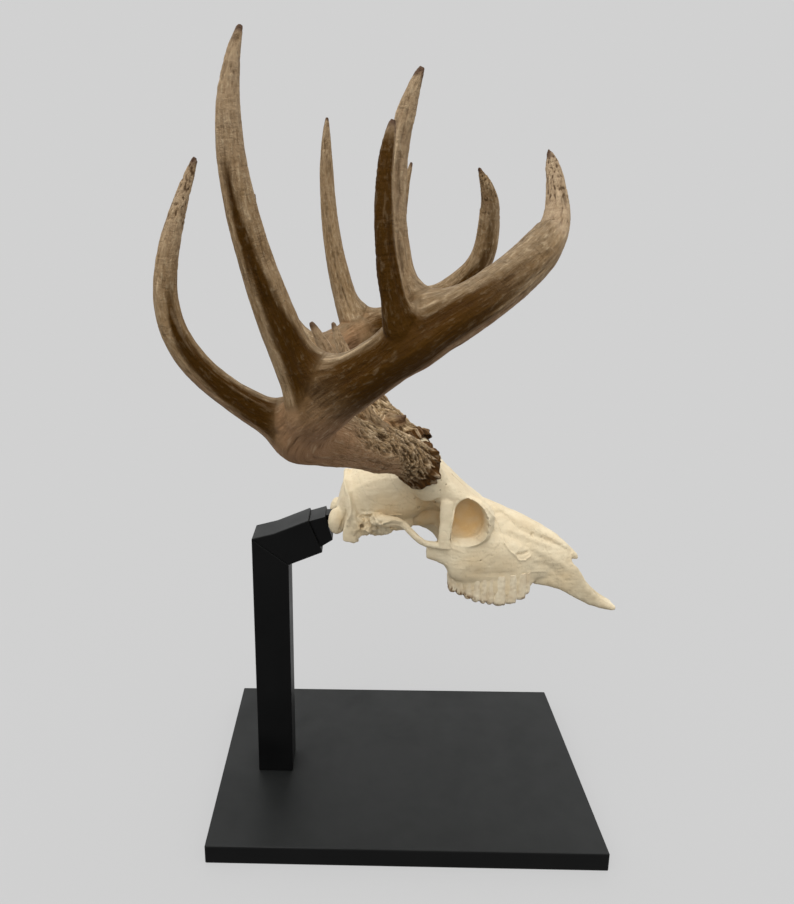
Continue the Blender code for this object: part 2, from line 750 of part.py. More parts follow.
def antler_bodies(spec, side):
    bm = bmesh.new()
    beam = smooth_path(spec["beam"], 60)
    tube(bm, beam[:, :3], beam[:, 3], side, sides=16)
    for handles, girth, _ in spec["tines"].values():
        tube(bm, handle_path(handles, 36), tapered(girth, 36), side, sides=16)
    # The burr, a knotted collar round the foot of the beam.
    foot, above = np.array(spec["beam"][:2])[:, :3]
    rise = (above - foot) / np.linalg.norm(above - foot)
    collar = [foot + rise * BURR_HEIGHT * step for step in (-0.2, 0.25, 0.6, 1.2)]
    tube(bm, collar, [BURR_RADIUS[side] * part for part in (0.86, 1.0, 0.97, 0.72)], side)
    return bm


def antler_cuts(spec, side):
    """Thin cuts at the forks, and a mark on each piece between them."""
    cutters = []
    marks = {}
    prefix = "antler_" + SIDE_NAMES[side] + "_"
    fine = 20
    rows = smooth_path(spec["beam"], fine * (len(spec["beam"]) - 1) + 1)
    beam = [place(row, side) for row in rows]
    for knot, reach in spec["beam_cuts"]:
        i = round(knot * fine)
        cutters.append(cut_across(beam, i, rows[i][3] * reach))
    bounds = (0.0, *(knot for knot, _ in spec["beam_cuts"]), len(spec["beam"]) - 1.0)
    for name, low, high in zip(BEAM_PIECES, bounds, bounds[1:]):
        marks[prefix + name] = beam[round((low + high) / 2 * fine)]
    for name, (handles, girth, cut) in spec["tines"].items():
        path = [place(row, side) for row in handle_path(handles, 101)]
        i = round(cut * 100)
        cutters.append(cut_across(path, i, spread(girth, 101)[i] * TINE_CUT_REACH))
        marks[prefix + name] = path[-1]
    return cutters, marks


def burr_underside(side):
    """What lies below the flat that the burr sits on."""
    bm = bmesh.new()
    centre, along = burr_seat(side)
    depth = 0.03
    disc(bm, centre - along * depth / 2, along, BURR_RADIUS[side] * 1.5, depth)
    return mesh_from_bmesh(bm, "underside")


def build_antler(side, finish):
    spec = ANTLERS[side]
    whole = fused(mesh_from_bmesh(antler_bodies(spec, side), "antler"), ANTLER_VOXEL, 2)
    whole = thinned(whole, ANTLER_TRIANGLES)
    cutters, marks = antler_cuts(spec, side)
    for cutter in (burr_underside(side), *cutters):
        whole = boolean(whole, cutter)
    name_parts(whole, marks, finish)


def main():
    clear_scene()
    black = material("stand_black", (0.012, 0.012, 0.013), 0.55)
    ivory = material("bone_ivory", (0.78, 0.70, 0.53), 0.60)
    brown = material("antler_brown", (0.26, 0.18, 0.12), 0.65)
    build_stand(black)
    build_skull(ivory)
    build_antler(RIGHT, brown)
    build_antler(LEFT, brown)


main()
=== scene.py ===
"""Looks of a mounted whitetail buck skull: fine bone, teeth and antlers, finishes, light and camera.

Metres, +Z up, +X towards the nose, -Y towards the viewer. Points on the skull and on an antler are
(x, out, z), where out is the distance from the skull's middle plane, on the side being built.
Tables of places are written in millimetres, which mm turns to metres.
"""

import math

import bmesh
import bpy
import numpy as np
from mathutils import Matrix, Vector, noise


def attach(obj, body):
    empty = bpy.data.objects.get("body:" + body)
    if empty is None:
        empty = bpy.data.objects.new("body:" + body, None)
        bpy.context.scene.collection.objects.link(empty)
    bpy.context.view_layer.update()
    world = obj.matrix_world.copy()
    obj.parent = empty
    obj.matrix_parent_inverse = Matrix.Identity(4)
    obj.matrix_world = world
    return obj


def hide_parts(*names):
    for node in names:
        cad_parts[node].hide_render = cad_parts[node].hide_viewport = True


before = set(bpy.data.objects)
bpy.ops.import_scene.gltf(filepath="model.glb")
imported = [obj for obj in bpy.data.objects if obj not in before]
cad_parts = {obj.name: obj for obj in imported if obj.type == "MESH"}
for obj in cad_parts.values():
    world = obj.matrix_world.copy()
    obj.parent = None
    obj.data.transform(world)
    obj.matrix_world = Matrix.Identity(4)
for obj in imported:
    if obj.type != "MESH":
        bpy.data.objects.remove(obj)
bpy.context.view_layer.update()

# Where the skull stands. It is a little rolled about its length, with its right side up.
SKULL_Y = -0.005
ROLL_AXIS = (0.0, SKULL_Y, 0.300)
ROLL = (
    Matrix.Translation(ROLL_AXIS)
    @ Matrix.Rotation(math.radians(-4.0), 4, "X")
    @ Matrix.Translation(ROLL_AXIS).inverted()
)
PEDICLE_FOOT = (0.024, 0.032, 0.343)
PEDICLE_RADIUS = 0.0150
BURR_RADIUS = 0.0240

RIGHT = -1
LEFT = 1
SIDE_NAMES = {RIGHT: "right", LEFT: "left"}
# Where a beam bends most, as a share of its length, how far that reaches, and how much of the fine
# patterns is taken off there.
BEND_SHARE = 0.36
BEND_WIDTH = 0.06
BEND_FADE = 0.8
# How far each burr's collar hangs down, and how high up its dark crust reaches.
BURR_HANG = {RIGHT: 1.0, LEFT: 1.4}
BURR_CRUST = {RIGHT: 0.0250, LEFT: 0.0060}

# Fineness of the meshes.
CLAY_VOXEL = 0.0012
BONE_VOXEL = 0.00065
ANTLER_VOXEL = 0.0008
TOOTH_VOXEL = 0.0005
RING_SIDES = 32

# The photo's camera: its place, how it is turned, and its picture, in pixels.
CAMERA_PLACE = (-0.0454, -0.69725, 0.57325)
CAMERA_PITCH = math.radians(14.15)
CAMERA_YAW = math.radians(-1.62)
CAMERA_ROLL = math.radians(0.18)
PICTURE_SIZE = (794, 904)
PICTURE_FOCUS = 744.6
PICTURE_AXIS = (337.8, 420.5)
SENSOR = 36.0


# ---------------------------------------------------------------- curves and shapes


def mm(value):
    """Metres for a number in millimetres, or for all the numbers of a list or a table."""
    if isinstance(value, dict):
        return {key: mm(part) for key, part in value.items()}
    if isinstance(value, (list, tuple)):
        return [mm(part) for part in value]
    return round(value / 1000, 7)


def place(point, side):
    """World point of (x, out, z) on one side of the skull's middle plane, before the roll."""
    return Vector((point[0], SKULL_Y + side * point[1], point[2]))


def smooth_path(knots, count):
    """Rows spread along the smooth curve through the knots. A knot may hold more than a point."""
    knots = np.array(knots, float)
    ends = [2 * knots[0] - knots[1], *knots, 2 * knots[-1] - knots[-2]]
    rows = []
    for u in np.linspace(0.0, len(knots) - 1.0, count):
        i = min(int(u), len(knots) - 2)
        t = u - i
        a, b, c, d = ends[i : i + 4]
        straight = 2 * b + (c - a) * t
        bend = (2 * a - 5 * b + 4 * c - d) * t**2 + (3 * b - a - 3 * c + d) * t**3
        rows.append((straight + bend) / 2)
    return np.array(rows)


def handle_path(handles, count):
    """Points along the Bezier curve of four handles."""
    a, b, c, d = np.array(handles, float)
    t = np.linspace(0.0, 1.0, count)[:, None]
    return (1 - t) ** 3 * a + 3 * (1 - t) ** 2 * t * b + 3 * (1 - t) * t**2 * c + t**3 * d


def spread(values, count):
    """The values, spaced evenly and read off at count places."""
    return np.interp(np.linspace(0, 1, count), np.linspace(0, 1, len(values)), values)


def eased(values, low, high):
    """0 below low, 1 above high, and a smooth step between them. low may be the higher one."""
    t = np.clip((np.asarray(values) - low) / (high - low), 0.0, 1.0)
    return t * t * (3 - 2 * t)


def bell(away, power=2):
    """1 at 0, and falling past 1 towards 0. A power of 1 gives a sharp top, and a high one a flat top."""
    return np.exp(-(away**power))


def turns(sides=RING_SIDES):
    """Angles spaced evenly round a full turn."""
    return [2 * math.pi * k / sides for k in range(sides)]


def open_loft(bm, rings):
    """Joins rings of as many points each by a skin, and gives the rings' vertices."""
    loops = [[bm.verts.new(point) for point in ring] for ring in rings]
    sides = len(loops[0])
    for here, there in zip(loops, loops[1:]):
        for i in range(sides):
            j = (i + 1) % sides
            bm.faces.new((here[i], here[j], there[j], there[i]))
    return loops


def closed_loft(bm, rings):
    """The same with a fan at both ends."""
    loops = open_loft(bm, rings)
    for loop in (loops[0], loops[-1]):
        middle = bm.verts.new(sum((vert.co for vert in loop), Vector()) / len(loop))
        for i, vert in enumerate(loop):
            bm.faces.new((vert, loop[(i + 1) % len(loop)], middle))


def tube(bm, points, radii, side=LEFT, across=(0.31, 0.92, 0.24), flat=1.0):
    """A bar along (x, out, z) points. It is flat times as wide along across as it is the other way."""
    path = [place(point, side) for point in points]
    across = Vector((across[0], side * across[1], across[2]))
    rings = []
    for i, centre in enumerate(path):
        along = (path[min(i + 1, len(path) - 1)] - path[max(i - 1, 0)]).normalized()
        across = (across - along * across.dot(along)).normalized()
        up = along.cross(across)
        spokes = [math.cos(turn) * flat * across + math.sin(turn) * up for turn in turns()]
        rings.append([centre + spoke * float(radii[i]) for spoke in spokes])
    closed_loft(bm, rings)


def bar(bm, points, radii, count, side=LEFT, **shape):
    """A smooth bar of count rings. Its (x, out, z) points and radii are in millimetres."""
    tube(bm, smooth_path(mm(points), count), spread(mm(radii), count), side, **shape)


def section_body(bm, stations, side=LEFT):
    """A smooth body through upright sections (x, out, top, bottom, half width, squareness).

    The lengths are in millimetres. A squareness of 2 is an oval, and a higher one is boxier.
    """
    stations = [(*mm(lengths), squareness) for *lengths, squareness in stations]
    rings = []
    for x, out, top, bottom, half_width, squareness in smooth_path(stations, 4 * len(stations)):
        ring = []
        for turn in turns():
            c, s = math.cos(turn), math.sin(turn)
            y = half_width * math.copysign(abs(c) ** (2 / squareness), c)
            z = (top - bottom) / 2 * math.copysign(abs(s) ** (2 / squareness), s)
            ring.append(place((x, out + y, (top + bottom) / 2 + z), side))
        rings.append(ring)
    closed_loft(bm, rings)


def oval(bm, centre, radii, side=LEFT, turn=0.0):
    """An ellipsoid turned about Z by turn. Its (x, out, z) centre and radii are in millimetres."""
    shape = Matrix.Translation(place(mm(centre), side)) @ Matrix.Rotation(side * turn, 4, "Z")
    shape = shape @ Matrix.Diagonal((*mm(radii), 1.0))
    bmesh.ops.create_icosphere(bm, subdivisions=4, radius=1.0, matrix=shape)


def both_sides(build, bm, *values, **options):
    for side in (RIGHT, LEFT):
        build(bm, *values, side=side, **options)


def roll(bm):
    bmesh.ops.transform(bm, matrix=ROLL, verts=bm.verts)


def mesh_from_bmesh(bm, name):
    bmesh.ops.recalc_face_normals(bm, faces=bm.faces)
    mesh = bpy.data.meshes.new(name)
    bm.to_mesh(mesh)
    bm.free()
    return mesh


def add_object(name, mesh):
    made = bpy.data.objects.new(name, mesh)
    bpy.context.scene.collection.objects.link(made)
    return made


def evaluated(thing):
    """The object's mesh after its modifiers. The object goes."""
    graph = bpy.context.evaluated_depsgraph_get()
    mesh = bpy.data.meshes.new_from_object(thing.evaluated_get(graph))
    bpy.data.objects.remove(thing, do_unlink=True)
    return mesh


def fused(mesh, voxel, passes):
    """One skin round all the bodies of a mesh, eased by some passes of smoothing."""
    raw = add_object("raw", mesh)
    remesh = raw.modifiers.new("Fuse", "REMESH")
    remesh.mode = "VOXEL"
    remesh.voxel_size = voxel
    ease = raw.modifiers.new("Ease", "SMOOTH")
    ease.factor = 0.5
    ease.iterations = passes
    return evaluated(raw)


def carved(mesh, cutter_mesh):
    """The mesh less another mesh."""
    body = add_object("body", mesh)
    cutter = add_object("cutter", cutter_mesh)
    cut = body.modifiers.new("Cut", "BOOLEAN")
    cut.solver = "MANIFOLD"
    cut.operation = "DIFFERENCE"
    cut.object = cutter
    result = evaluated(body)
    bpy.data.objects.remove(cutter, do_unlink=True)
    return result


def read_vectors(mesh, source):
    """The mesh's places or normals, one row for each vertex."""
    values = np.empty(len(mesh.vertices) * 3, np.float32)
    if source == "co":
        mesh.vertices.foreach_get("co", values)
    else:
        mesh.vertex_normals.foreach_get("vector", values)
    return values.reshape(-1, 3).astype(float)


def write_places(mesh, places):
    mesh.vertices.foreach_set("co", places.astype(np.float32).ravel())
    mesh.update()


def keep_values(mesh, **columns):
    """Keeps numbers for each vertex, which the materials read by name."""
    for name, values in columns.items():
        layer = mesh.attributes.new(name, "FLOAT", "POINT")
        layer.data.foreach_set("value", np.asarray(values, np.float32))


def grain(points, cell, seed=0):
    """Smooth noise from about -1 to 1, with cells of the given size along each coordinate."""
    scaled = points / np.array(cell) + 17.3 * seed
    return np.array([noise.noise(point) for point in scaled.tolist()]) * 1.6


def pearls(points, cell, seed=0):
    """Rounded lumps, 1 at the middle of each and 0 between them."""
    scaled = points / np.array(cell) + 17.3 * seed
    nearest = np.array([noise.voronoi(point)[0][0] for point in scaled.tolist()])
    return np.clip(1.0 - 1.35 * nearest, 0.0, 1.0)


def place_piece(name, mesh, finish, slot, *nodes):
    """Makes a finished piece of the model, which stands for the nodes."""
    mesh.materials.clear()
    mesh.materials.append(finish)
    mesh.shade_smooth()
    piece = add_object(name, mesh)
    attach(piece, "root")
    if nodes:
        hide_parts(*nodes)


# ---------------------------------------------------------------- materials


class Signal:
    """What one socket of a shader gives. Adding or multiplying signals makes the nodes for it."""

    def __init__(self, tree, kind, inputs, output=0, **settings):
        made = tree.nodes.new(kind)
        for key, value in settings.items():
            setattr(made, key, value)
        for key, value in inputs.items():
            if isinstance(value, Signal):
                tree.links.new(value.socket, made.inputs[key])
            else:
                made.inputs[key].default_value = value
        self.tree = tree
        self.socket = made.outputs[output]

    def counted(self, operation, *values):
        return Signal(self.tree, "ShaderNodeMath", dict(enumerate(values)), operation=operation)

    def __add__(self, other):
        return self.counted("ADD", self, other)

    def __mul__(self, other):
        return self.counted("MULTIPLY", self, other)

    def __sub__(self, other):
        return self.counted("SUBTRACT", self, other)

    def __rsub__(self, other):
        return self.counted("SUBTRACT", other, self)

    def __abs__(self):
        return self.counted("ABSOLUTE", self)

    def ranged(self, low, high, to_low=0.0, to_high=1.0):
        """The signal, taken from one range to another and held inside it."""
        values = {"Value": self, 1: low, 2: high, 3: to_low, 4: to_high}
        return Signal(self.tree, "ShaderNodeMapRange", values, clamp=True)


def kept(tree, name):
    """A number that the mesh keeps for each vertex."""
    return Signal(tree, "ShaderNodeAttribute", {}, "Fac", attribute_name=name)


def speckle(tree, scale, detail=3.0, roughness=0.55, stretch=(1.0, 1.0, 1.0), at=None):
    """Noise from 0 to 1, with about scale cells to the metre of the object's own space or of at."""
    at = at or Signal(tree, "ShaderNodeTexCoord", {}, "Object")
    at = Signal(tree, "ShaderNodeVectorMath", {0: at, 1: stretch}, operation="MULTIPLY")
    values = {"Vector": at, "Scale": scale, "Detail": detail, "Roughness": roughness}
    return Signal(tree, "ShaderNodeTexNoise", values)


def skin_speckle(tree, scale, detail, stretch):
    """Noise in the space that unrolls an antler's stems: two ways across a stem and one along it."""
    skin = Signal(tree, "ShaderNodeAttribute", {}, "Vector", attribute_name="skin")
    return speckle(tree, scale, detail, 0.6, stretch, skin)


def layered(amount, low, high, *layers):
    """The colours low and high mixed by an amount, under layers of (amount, colour)."""
    colour = (*low, 1.0)
    for share, tint in ((amount, high), *layers):
        values = {0: share, 6: colour, 7: (*tint, 1.0)}
        colour = Signal(amount.tree, "ShaderNodeMix", values, 2, data_type="RGBA")
    return colour


def new_material(name):
    made = bpy.data.materials.new(name)
    made.use_nodes = True
    return made, made.node_tree


def finished(made, colour, roughness, specular, height, strength, distance):
    """Gives the signals to the material's shader. Its bumps are distance high at full strength."""
    shader = made.node_tree.nodes["Principled BSDF"]
    bumps = {"Height": height, "Strength": strength, "Distance": distance}
    normal = Signal(made.node_tree, "ShaderNodeBump", bumps)
    for signal, name in ((colour, "Base Color"), (roughness, "Roughness"), (normal, "Normal")):
        made.node_tree.links.new(signal.socket, shader.inputs[name])
    shader.inputs["Specular IOR Level"].default_value = specular
    return made


def bone_finish():
    made, tree = new_material("dry_bone")
    cloudy = speckle(tree, 26.0, 4.0).ranged(0.30, 0.72)
    streaks = speckle(tree, 150.0, 3.0, stretch=(0.25, 1.0, 1.0)).ranged(0.42, 0.75)
    pores = speckle(tree, 900.0, 2.0).ranged(0.62, 0.80)
    colour = layered(
        cloudy, (0.70, 0.575, 0.375), (0.79, 0.69, 0.49),
        (streaks * 0.30, (0.60, 0.45, 0.27)),
        # Painted shade: greyer, darker bone.
        (kept(tree, "grime"), (0.44, 0.35, 0.215)),
        # Tan stains, with painted shade in hollows and on what faces down.
        (kept(tree, "stain"), (0.72, 0.50, 0.235)),
        (pores * 0.30, (0.36, 0.26, 0.15)),
        # Dark seams, and painted shade in grooves, holes, pits and furrows.
        (kept(tree, "mark"), (0.20, 0.135, 0.07)),
    )
    dull = speckle(tree, 60.0, 3.0).ranged(0.3, 0.7, 0.48, 0.64)
    height = speckle(tree, 420.0, 5.0, 0.65) * 0.5 + pores * -0.4
    return finished(made, colour, dull, 0.4, height, 0.35, 0.0006)


def tooth_finish():
    made, tree = new_material("tooth_enamel")
    cloudy = speckle(tree, 90.0, 3.0).ranged(0.35, 0.65)
    brown = (kept(tree, "stain"), (0.20, 0.105, 0.04))
    colour = layered(cloudy, (0.62, 0.50, 0.33), (0.76, 0.66, 0.475), brown)
    gloss = speckle(tree, 200.0, 2.0).ranged(0.3, 0.7, 0.30, 0.45)
    return finished(made, colour, gloss, 0.5, speckle(tree, 700.0, 3.0), 0.25, 0.0004)


def antler_finish():
    made, tree = new_material("dry_antler")
    dark, sure, relief = (kept(tree, name) for name in ("dark", "sure", "relief"))
    # Where the painted highlights are full: less on the dark face.
    light = 1.0 - dark * 0.75
    knotted = kept(tree, "knotted") * sure
    # Fine patterns along the stems: fibres, crinkles, cracks where they are knotted, and fine rings.
    fibre = skin_speckle(tree, 800.0, 3.0, (1.0, 1.0, 0.07)).ranged(0.36, 0.66) * sure
    crinkle = skin_speckle(tree, 420.0, 4.0, (1.0, 1.0, 0.40)) * sure
    # Painted highlight on the crinkles' crests, and painted shade in their dips.
    crest = crinkle.ranged(0.54, 0.70) * light
    dip = crinkle.ranged(0.47, 0.30) * sure
    # Cracks where the stems are knotted; their darkness is painted shade.
    from_crack = abs(skin_speckle(tree, 330.0, 3.0, (1.0, 1.0, 0.30)) - 0.5)
    crack = from_crack.ranged(0.030, 0.0) * knotted
    rings = skin_speckle(tree, 620.0, 3.0, (0.25, 0.25, 1.0)).ranged(0.48, 0.70) * sure
    rings = rings * speckle(tree, 55.0, 2.0).ranged(0.42, 0.62)

    blotch = speckle(tree, 45.0, 4.0).ranged(0.35, 0.70)
    mottle = speckle(tree, 160.0, 4.0).ranged(0.30, 0.65, 0.50, 1.0)
    colour = layered(
        blotch, (0.255, 0.168, 0.092), (0.335, 0.240, 0.148),
        (kept(tree, "streak").ranged(0.05, 0.95) * 0.45, (0.410, 0.310, 0.205)),
        (kept(tree, "downward") * 0.5, (0.330, 0.190, 0.130)),
        (kept(tree, "pearled") * 0.75, (0.395, 0.238, 0.146)),
        (kept(tree, "upward") * mottle, (0.205, 0.152, 0.098)),
        (knotted * 0.70, (0.360, 0.260, 0.150)),
        (kept(tree, "pale") * mottle * 0.80, (0.480, 0.365, 0.255)),
        (fibre * 0.22, (0.500, 0.390, 0.265)),
        # Painted shade in the crinkles' dips.
        (dip * 0.45, (0.120, 0.070, 0.030)),
        # The dark face: dark brown of its own, with painted shade.
        (dark * 0.98, (0.053, 0.0225, 0.0035)),
        (fibre * dark * 0.10, (0.150, 0.080, 0.028)),
        (kept(tree, "crust"), (0.085, 0.038, 0.013)),
        # Painted highlight on the crinkles' crests.
        (crest * 0.45, (0.600, 0.490, 0.340)),
        (rings * 0.22, (0.085, 0.046, 0.022)),
        # Painted highlight on the ridges and painted shade in the grooves.
        (relief.ranged(0.25, 0.95) * light * 0.75, (0.680, 0.530, 0.365)),
        (relief.ranged(-0.10, -0.90) * 0.80, (0.048, 0.023, 0.008)),
        # Painted shade in the cracks.
        (crack * 0.60, (0.060, 0.032, 0.012)),
        (kept(tree, "tip"), (0.075, 0.040, 0.028)),
    )
    colour = Signal(tree, "ShaderNodeHueSaturation", {"Saturation": 1.14, "Color": colour})
    dull = speckle(tree, 130.0, 3.0).ranged(0.3, 0.7, 0.55, 0.75)
    height = speckle(tree, 620.0, 5.0, 0.65) * 0.8 + fibre * 0.35 + crinkle * 1.6
    height = height + rings * -0.45 + crack * -1.2
    return finished(made, colour, dull, 0.10, height, 0.9, 0.0010)


def paint_finish():
    made, tree = new_material("black_paint")
    cloudy = speckle(tree, 30.0, 4.0).ranged(0.3, 0.7)
    # What faces up is lighter: a little dust, with painted top light.
    facing = Signal(tree, "ShaderNodeNewGeometry", {}, "Normal")
    up = Signal(tree, "ShaderNodeSeparateXYZ", {0: facing}, "Z")
    dust_and_top_light = up.ranged(0.3, 1.0) * speckle(tree, 14.0, 5.0).ranged(0.25, 0.75, 0.6, 1.0)
    dusty_and_lit = (dust_and_top_light, (0.0125, 0.0135, 0.0130))
    colour = layered(cloudy, (0.0006, 0.0007, 0.0007), (0.0016, 0.0017, 0.0017), dusty_and_lit)
    dull = speckle(tree, 25.0, 3.0).ranged(0.3, 0.7, 0.42, 0.56)
    return finished(made, colour, dull, 0.22, speckle(tree, 1400.0, 3.0), 0.16, 0.0003)


# ---------------------------------------------------------------- skull


def add_braincase(bm):
    braincase = [
        (-66, 0, 316, 295, 14, 2.2),
        (-59, 0, 338, 292, 26, 2.3),
        (-45, 0, 353, 293, 37, 2.3),
        (-20, 0, 360, 295, 39, 2.2),
        (5, 0, 365, 301, 37, 2.2),
        (17, 0, 360, 309.5, 33, 2.2),
        (30, 0, 352, 310.5, 29, 2.2),
        (50, 0, 336, 304, 25, 2.2),
    ]
    section_body(bm, braincase)
    crest = ((-46, 40, 300), (-52, 37.5, 320), (-55.5, 25, 338), (-56.5, 0, 346.5))
    both_sides(bar, bm, crest, (4.5, 4.5, 3.8, 3.5), 16)


def add_skull_base(bm):
    # Neck joints, the processes beside them, and the ear bones.
    both_sides(oval, bm, (-65.5, 17.5, 302), (8.8, 8.8, 13.6), turn=0.5)
    process = ((-45, 34, 312), (-51, 36.5, 296), (-52, 37.2, 287.8))
    both_sides(bar, bm, process, (10.5, 8.8, 7.6), 8, across=(0, 1, 0), flat=0.7)
    both_sides(oval, bm, (-27, 24, 297.5), (16, 8, 8), turn=0.3)
    both_sides(oval, bm, (-40, 32, 302), (13, 9, 8.5))
    both_sides(oval, bm, (-6, 19, 300.5), (15, 8, 7))
    keel = ((-62, 0, 299), (-20, 0, 301.5), (14, 0, 303), (36, 0, 301), (55, 0, 276))
    bar(bm, keel, (10, 9, 10.5, 10.5, 12), 20)
    wings = [
        (36.5, 18, 308, 299, 2.5, 2.4),
        (43, 19, 305, 274, 3, 2.4),
        (52, 21, 300, 260, 4, 2.4),
    ]
    both_sides(section_body, bm, wings)


# The rear bar of the orbit, from the brow down to the cheek arch, as knots (x, out, z, radius) in
# millimetres.
ORBIT_BAR = mm((
    (37, 40, 340, 5),
    (35.8, 50, 330, 5.8),
    (34.6, 54, 315, 5.5),
    (33.5, 56.5, 299, 5.6),
    (34, 56, 288, 6),
))
BAR_FLATNESS = 0.5

# How much lower the left brow is than the right one, and where along, out and up that sets in.
LEFT_BROW_DROP = 0.0090
BROW_REAR = (0.030, 0.050)
BROW_FRONT = (0.100, 0.072)
BROW_OUT = (0.010, 0.034)
BROW_UP = (0.292, 0.320)


def add_forehead(bm):
    brow = [
        (2, 0, 366, 335, 30, 2.6),
        (15, 0, 369, 330, 41, 3.0),
        (30, 0, 362, 318, 50, 2.9),
        (46, 0, 348.5, 306, 50, 2.8),
        (63, 0, 332, 296, 44, 2.7),
        (82, 0, 316, 285, 34, 2.5),
    ]
    section_body(bm, brow)
    both_sides(oval, bm, (57, 37.5, 308.5), (26, 23.5, 24.5), turn=-0.20)


def lower_left_brow(bm):
    places = np.array([vert.co for vert in bm.verts])
    out = places[:, 1] - SKULL_Y
    share = eased(places[:, 0], *BROW_REAR) * eased(places[:, 0], *BROW_FRONT)
    share *= eased(out, *BROW_OUT) * eased(places[:, 2], *BROW_UP)
    for vert, drop in zip(bm.verts, (share * LEFT_BROW_DROP).tolist()):
        vert.co.z -= drop


def add_orbit_bars(bm):
    bar = smooth_path(ORBIT_BAR, 20)
    both_sides(tube, bm, bar[:, :3], bar[:, 3], across=(0.0, 1.0, 0.2), flat=BAR_FLATNESS)


def add_face(bm):
    muzzle = [
        (40, 0, 343, 262, 34, 2.4),
        (60, 0, 332, 256, 37, 2.3),
        (80, 0, 318.5, 250, 36.5, 2.2),
        (100, 0, 309.5, 246, 30.5, 2.1),
        (120, 0, 299.5, 240, 25, 2.1),
        (145, 0, 285, 235, 20.5, 2.1),
        (164, 0, 270, 227, 17.5, 2.2),
    ]
    section_body(bm, muzzle)
    nasals = [
        (78, 0, 320.5, 300, 17, 2.6),
        (100, 0, 311.2, 290, 17, 2.6),
        (130, 0, 296.7, 274, 15, 2.6),
        (155, 0, 280.5, 264, 13, 2.6),
        (166, 0, 270, 260, 10, 2.6),
        (172, 0, 264, 259, 6, 2.4),
    ]
    section_body(bm, nasals)
    cheek = [
        (18, 49, 288, 276, 4, 2.2),
        (28, 47, 292.5, 272.5, 6, 2.3),
        (36, 44, 295.5, 266.5, 9, 2.4),
        (44, 42, 297.5, 254, 11, 2.4),
        (70, 35, 300, 246, 13, 2.4),
        (100, 28, 290, 243, 12, 2.3),
        (116, 23.5, 279, 243, 9, 2.2),
        (132, 19, 268, 245, 5, 2.2),
        (146, 16, 260, 245, 2, 2.0),
    ]
    both_sides(section_body, bm, cheek)
    # What the teeth grow from.
    sockets = [
        (41.5, 35, 272, 245.8, 6.6, 3.0),
        (53, 35, 272, 239.4, 8.8, 3.0),
        (68, 34.5, 272, 233.2, 9.3, 3.0),
        (90, 32, 270, 229.3, 8.9, 3.0),
        (106, 29, 266, 231, 7.6, 3.0),
        (115, 26.5, 262, 235.2, 6, 3.0),
        (120, 25, 258, 240, 4.4, 2.6),
        (126, 22, 254, 243, 2, 2.2),
    ]
    both_sides(section_body, bm, sockets)
    blades = [
        (125, 17, 262, 239, 4, 2.4),
        (148, 16.5, 260, 234.2, 4, 2.4),
        (166, 15.5, 259, 224.5, 3.8, 2.4),
        (180, 14, 237.5, 217.5, 4.4, 2.4),
        (196, 11.5, 220.5, 211.8, 5.2, 2.4),
        (205.5, 8.5, 214.8, 209.2, 5.2, 2.4),
        (210.8, 6, 212.2, 209.2, 3.8, 2.2),
    ]
    both_sides(section_body, bm, blades)
    oval(bm, (201, 0, 213), (8, 12, 2.8))


# The cheek arch in the same way, from the cheek back to the jaw joint.
ARCH = mm((
    (46, 46, 288, 4),
    (33.8, 50.5, 289.5, 3.6),
    (21.9, 56, 292, 3.1),
    (14, 59.5, 295.4, 3),
    (8.2, 60, 300, 3),
    (2.5, 58, 305.2, 3),
    (-3, 54.5, 310, 3.3),
    (-10, 50, 311.8, 4.5),
    (-20, 45, 310.5, 5.8),
    (-30, 36, 310, 6),
))


def add_cheek_arches(bm):
    path = smooth_path(ARCH, 36)
    both_sides(tube, bm, path[:, :3], path[:, 3])


# The orbit in side view, as (x, z) in millimetres: the edge of its rim, with the ledge below it,
# and its opening.
ORBIT_RIM = mm((
    (40.2, 297.5), (40.6, 306), (41.8, 316), (43.8, 327), (48, 333), (54, 335.2),
    (60.5, 334.5), (66.5, 330.5), (72, 323.5), (74.2, 313.3), (73.8, 304), (71.2, 296.5),
    (66.5, 291), (60.9, 287.8), (54.4, 286.5), (48, 288.2), (42.5, 292.2),
))
ORBIT_OPENING = mm((
    (40.8, 298.5), (40.8, 306), (41.8, 315), (43.8, 326), (47.7, 331.2), (53.3, 333.4),
    (59.5, 332.7), (64.8, 329), (69.4, 322.8), (71.4, 315), (71, 308), (68, 301),
    (63, 296.8), (58.5, 295.7), (53, 295.1), (47, 294.8), (42.4, 295.4),
))
# Layers of the hollow: how far out each is, how much it is the opening, and its size.
ORBIT_LAYERS = (
    (0.0850, 0.0, 1.12),
    (0.0540, 0.0, 1.00),
    (0.0440, 1.0, 1.00),
    (0.0380, 1.0, 0.98),
    (0.0320, 1.0, 0.86),
    (0.0260, 1.0, 0.60),
)
# What the outlines, which were read off the middle of the rim, drop by.
ORBIT_DROP = 0.0013


def orbit_hollow(bm, side):
    outlines = (ORBIT_RIM, ORBIT_OPENING)
    rim, opening = (smooth_path([*points, points[0]], 40)[:-1] for points in outlines)
    rings = []
    for out, share, size in ORBIT_LAYERS:
        outline = rim * (1 - share) + opening * share
        outline = outline.mean(axis=0) + size * (outline - outline.mean(axis=0))
        rings.append([place((x, out, z - ORBIT_DROP), side) for x, z in outline])
    closed_loft(bm, rings)


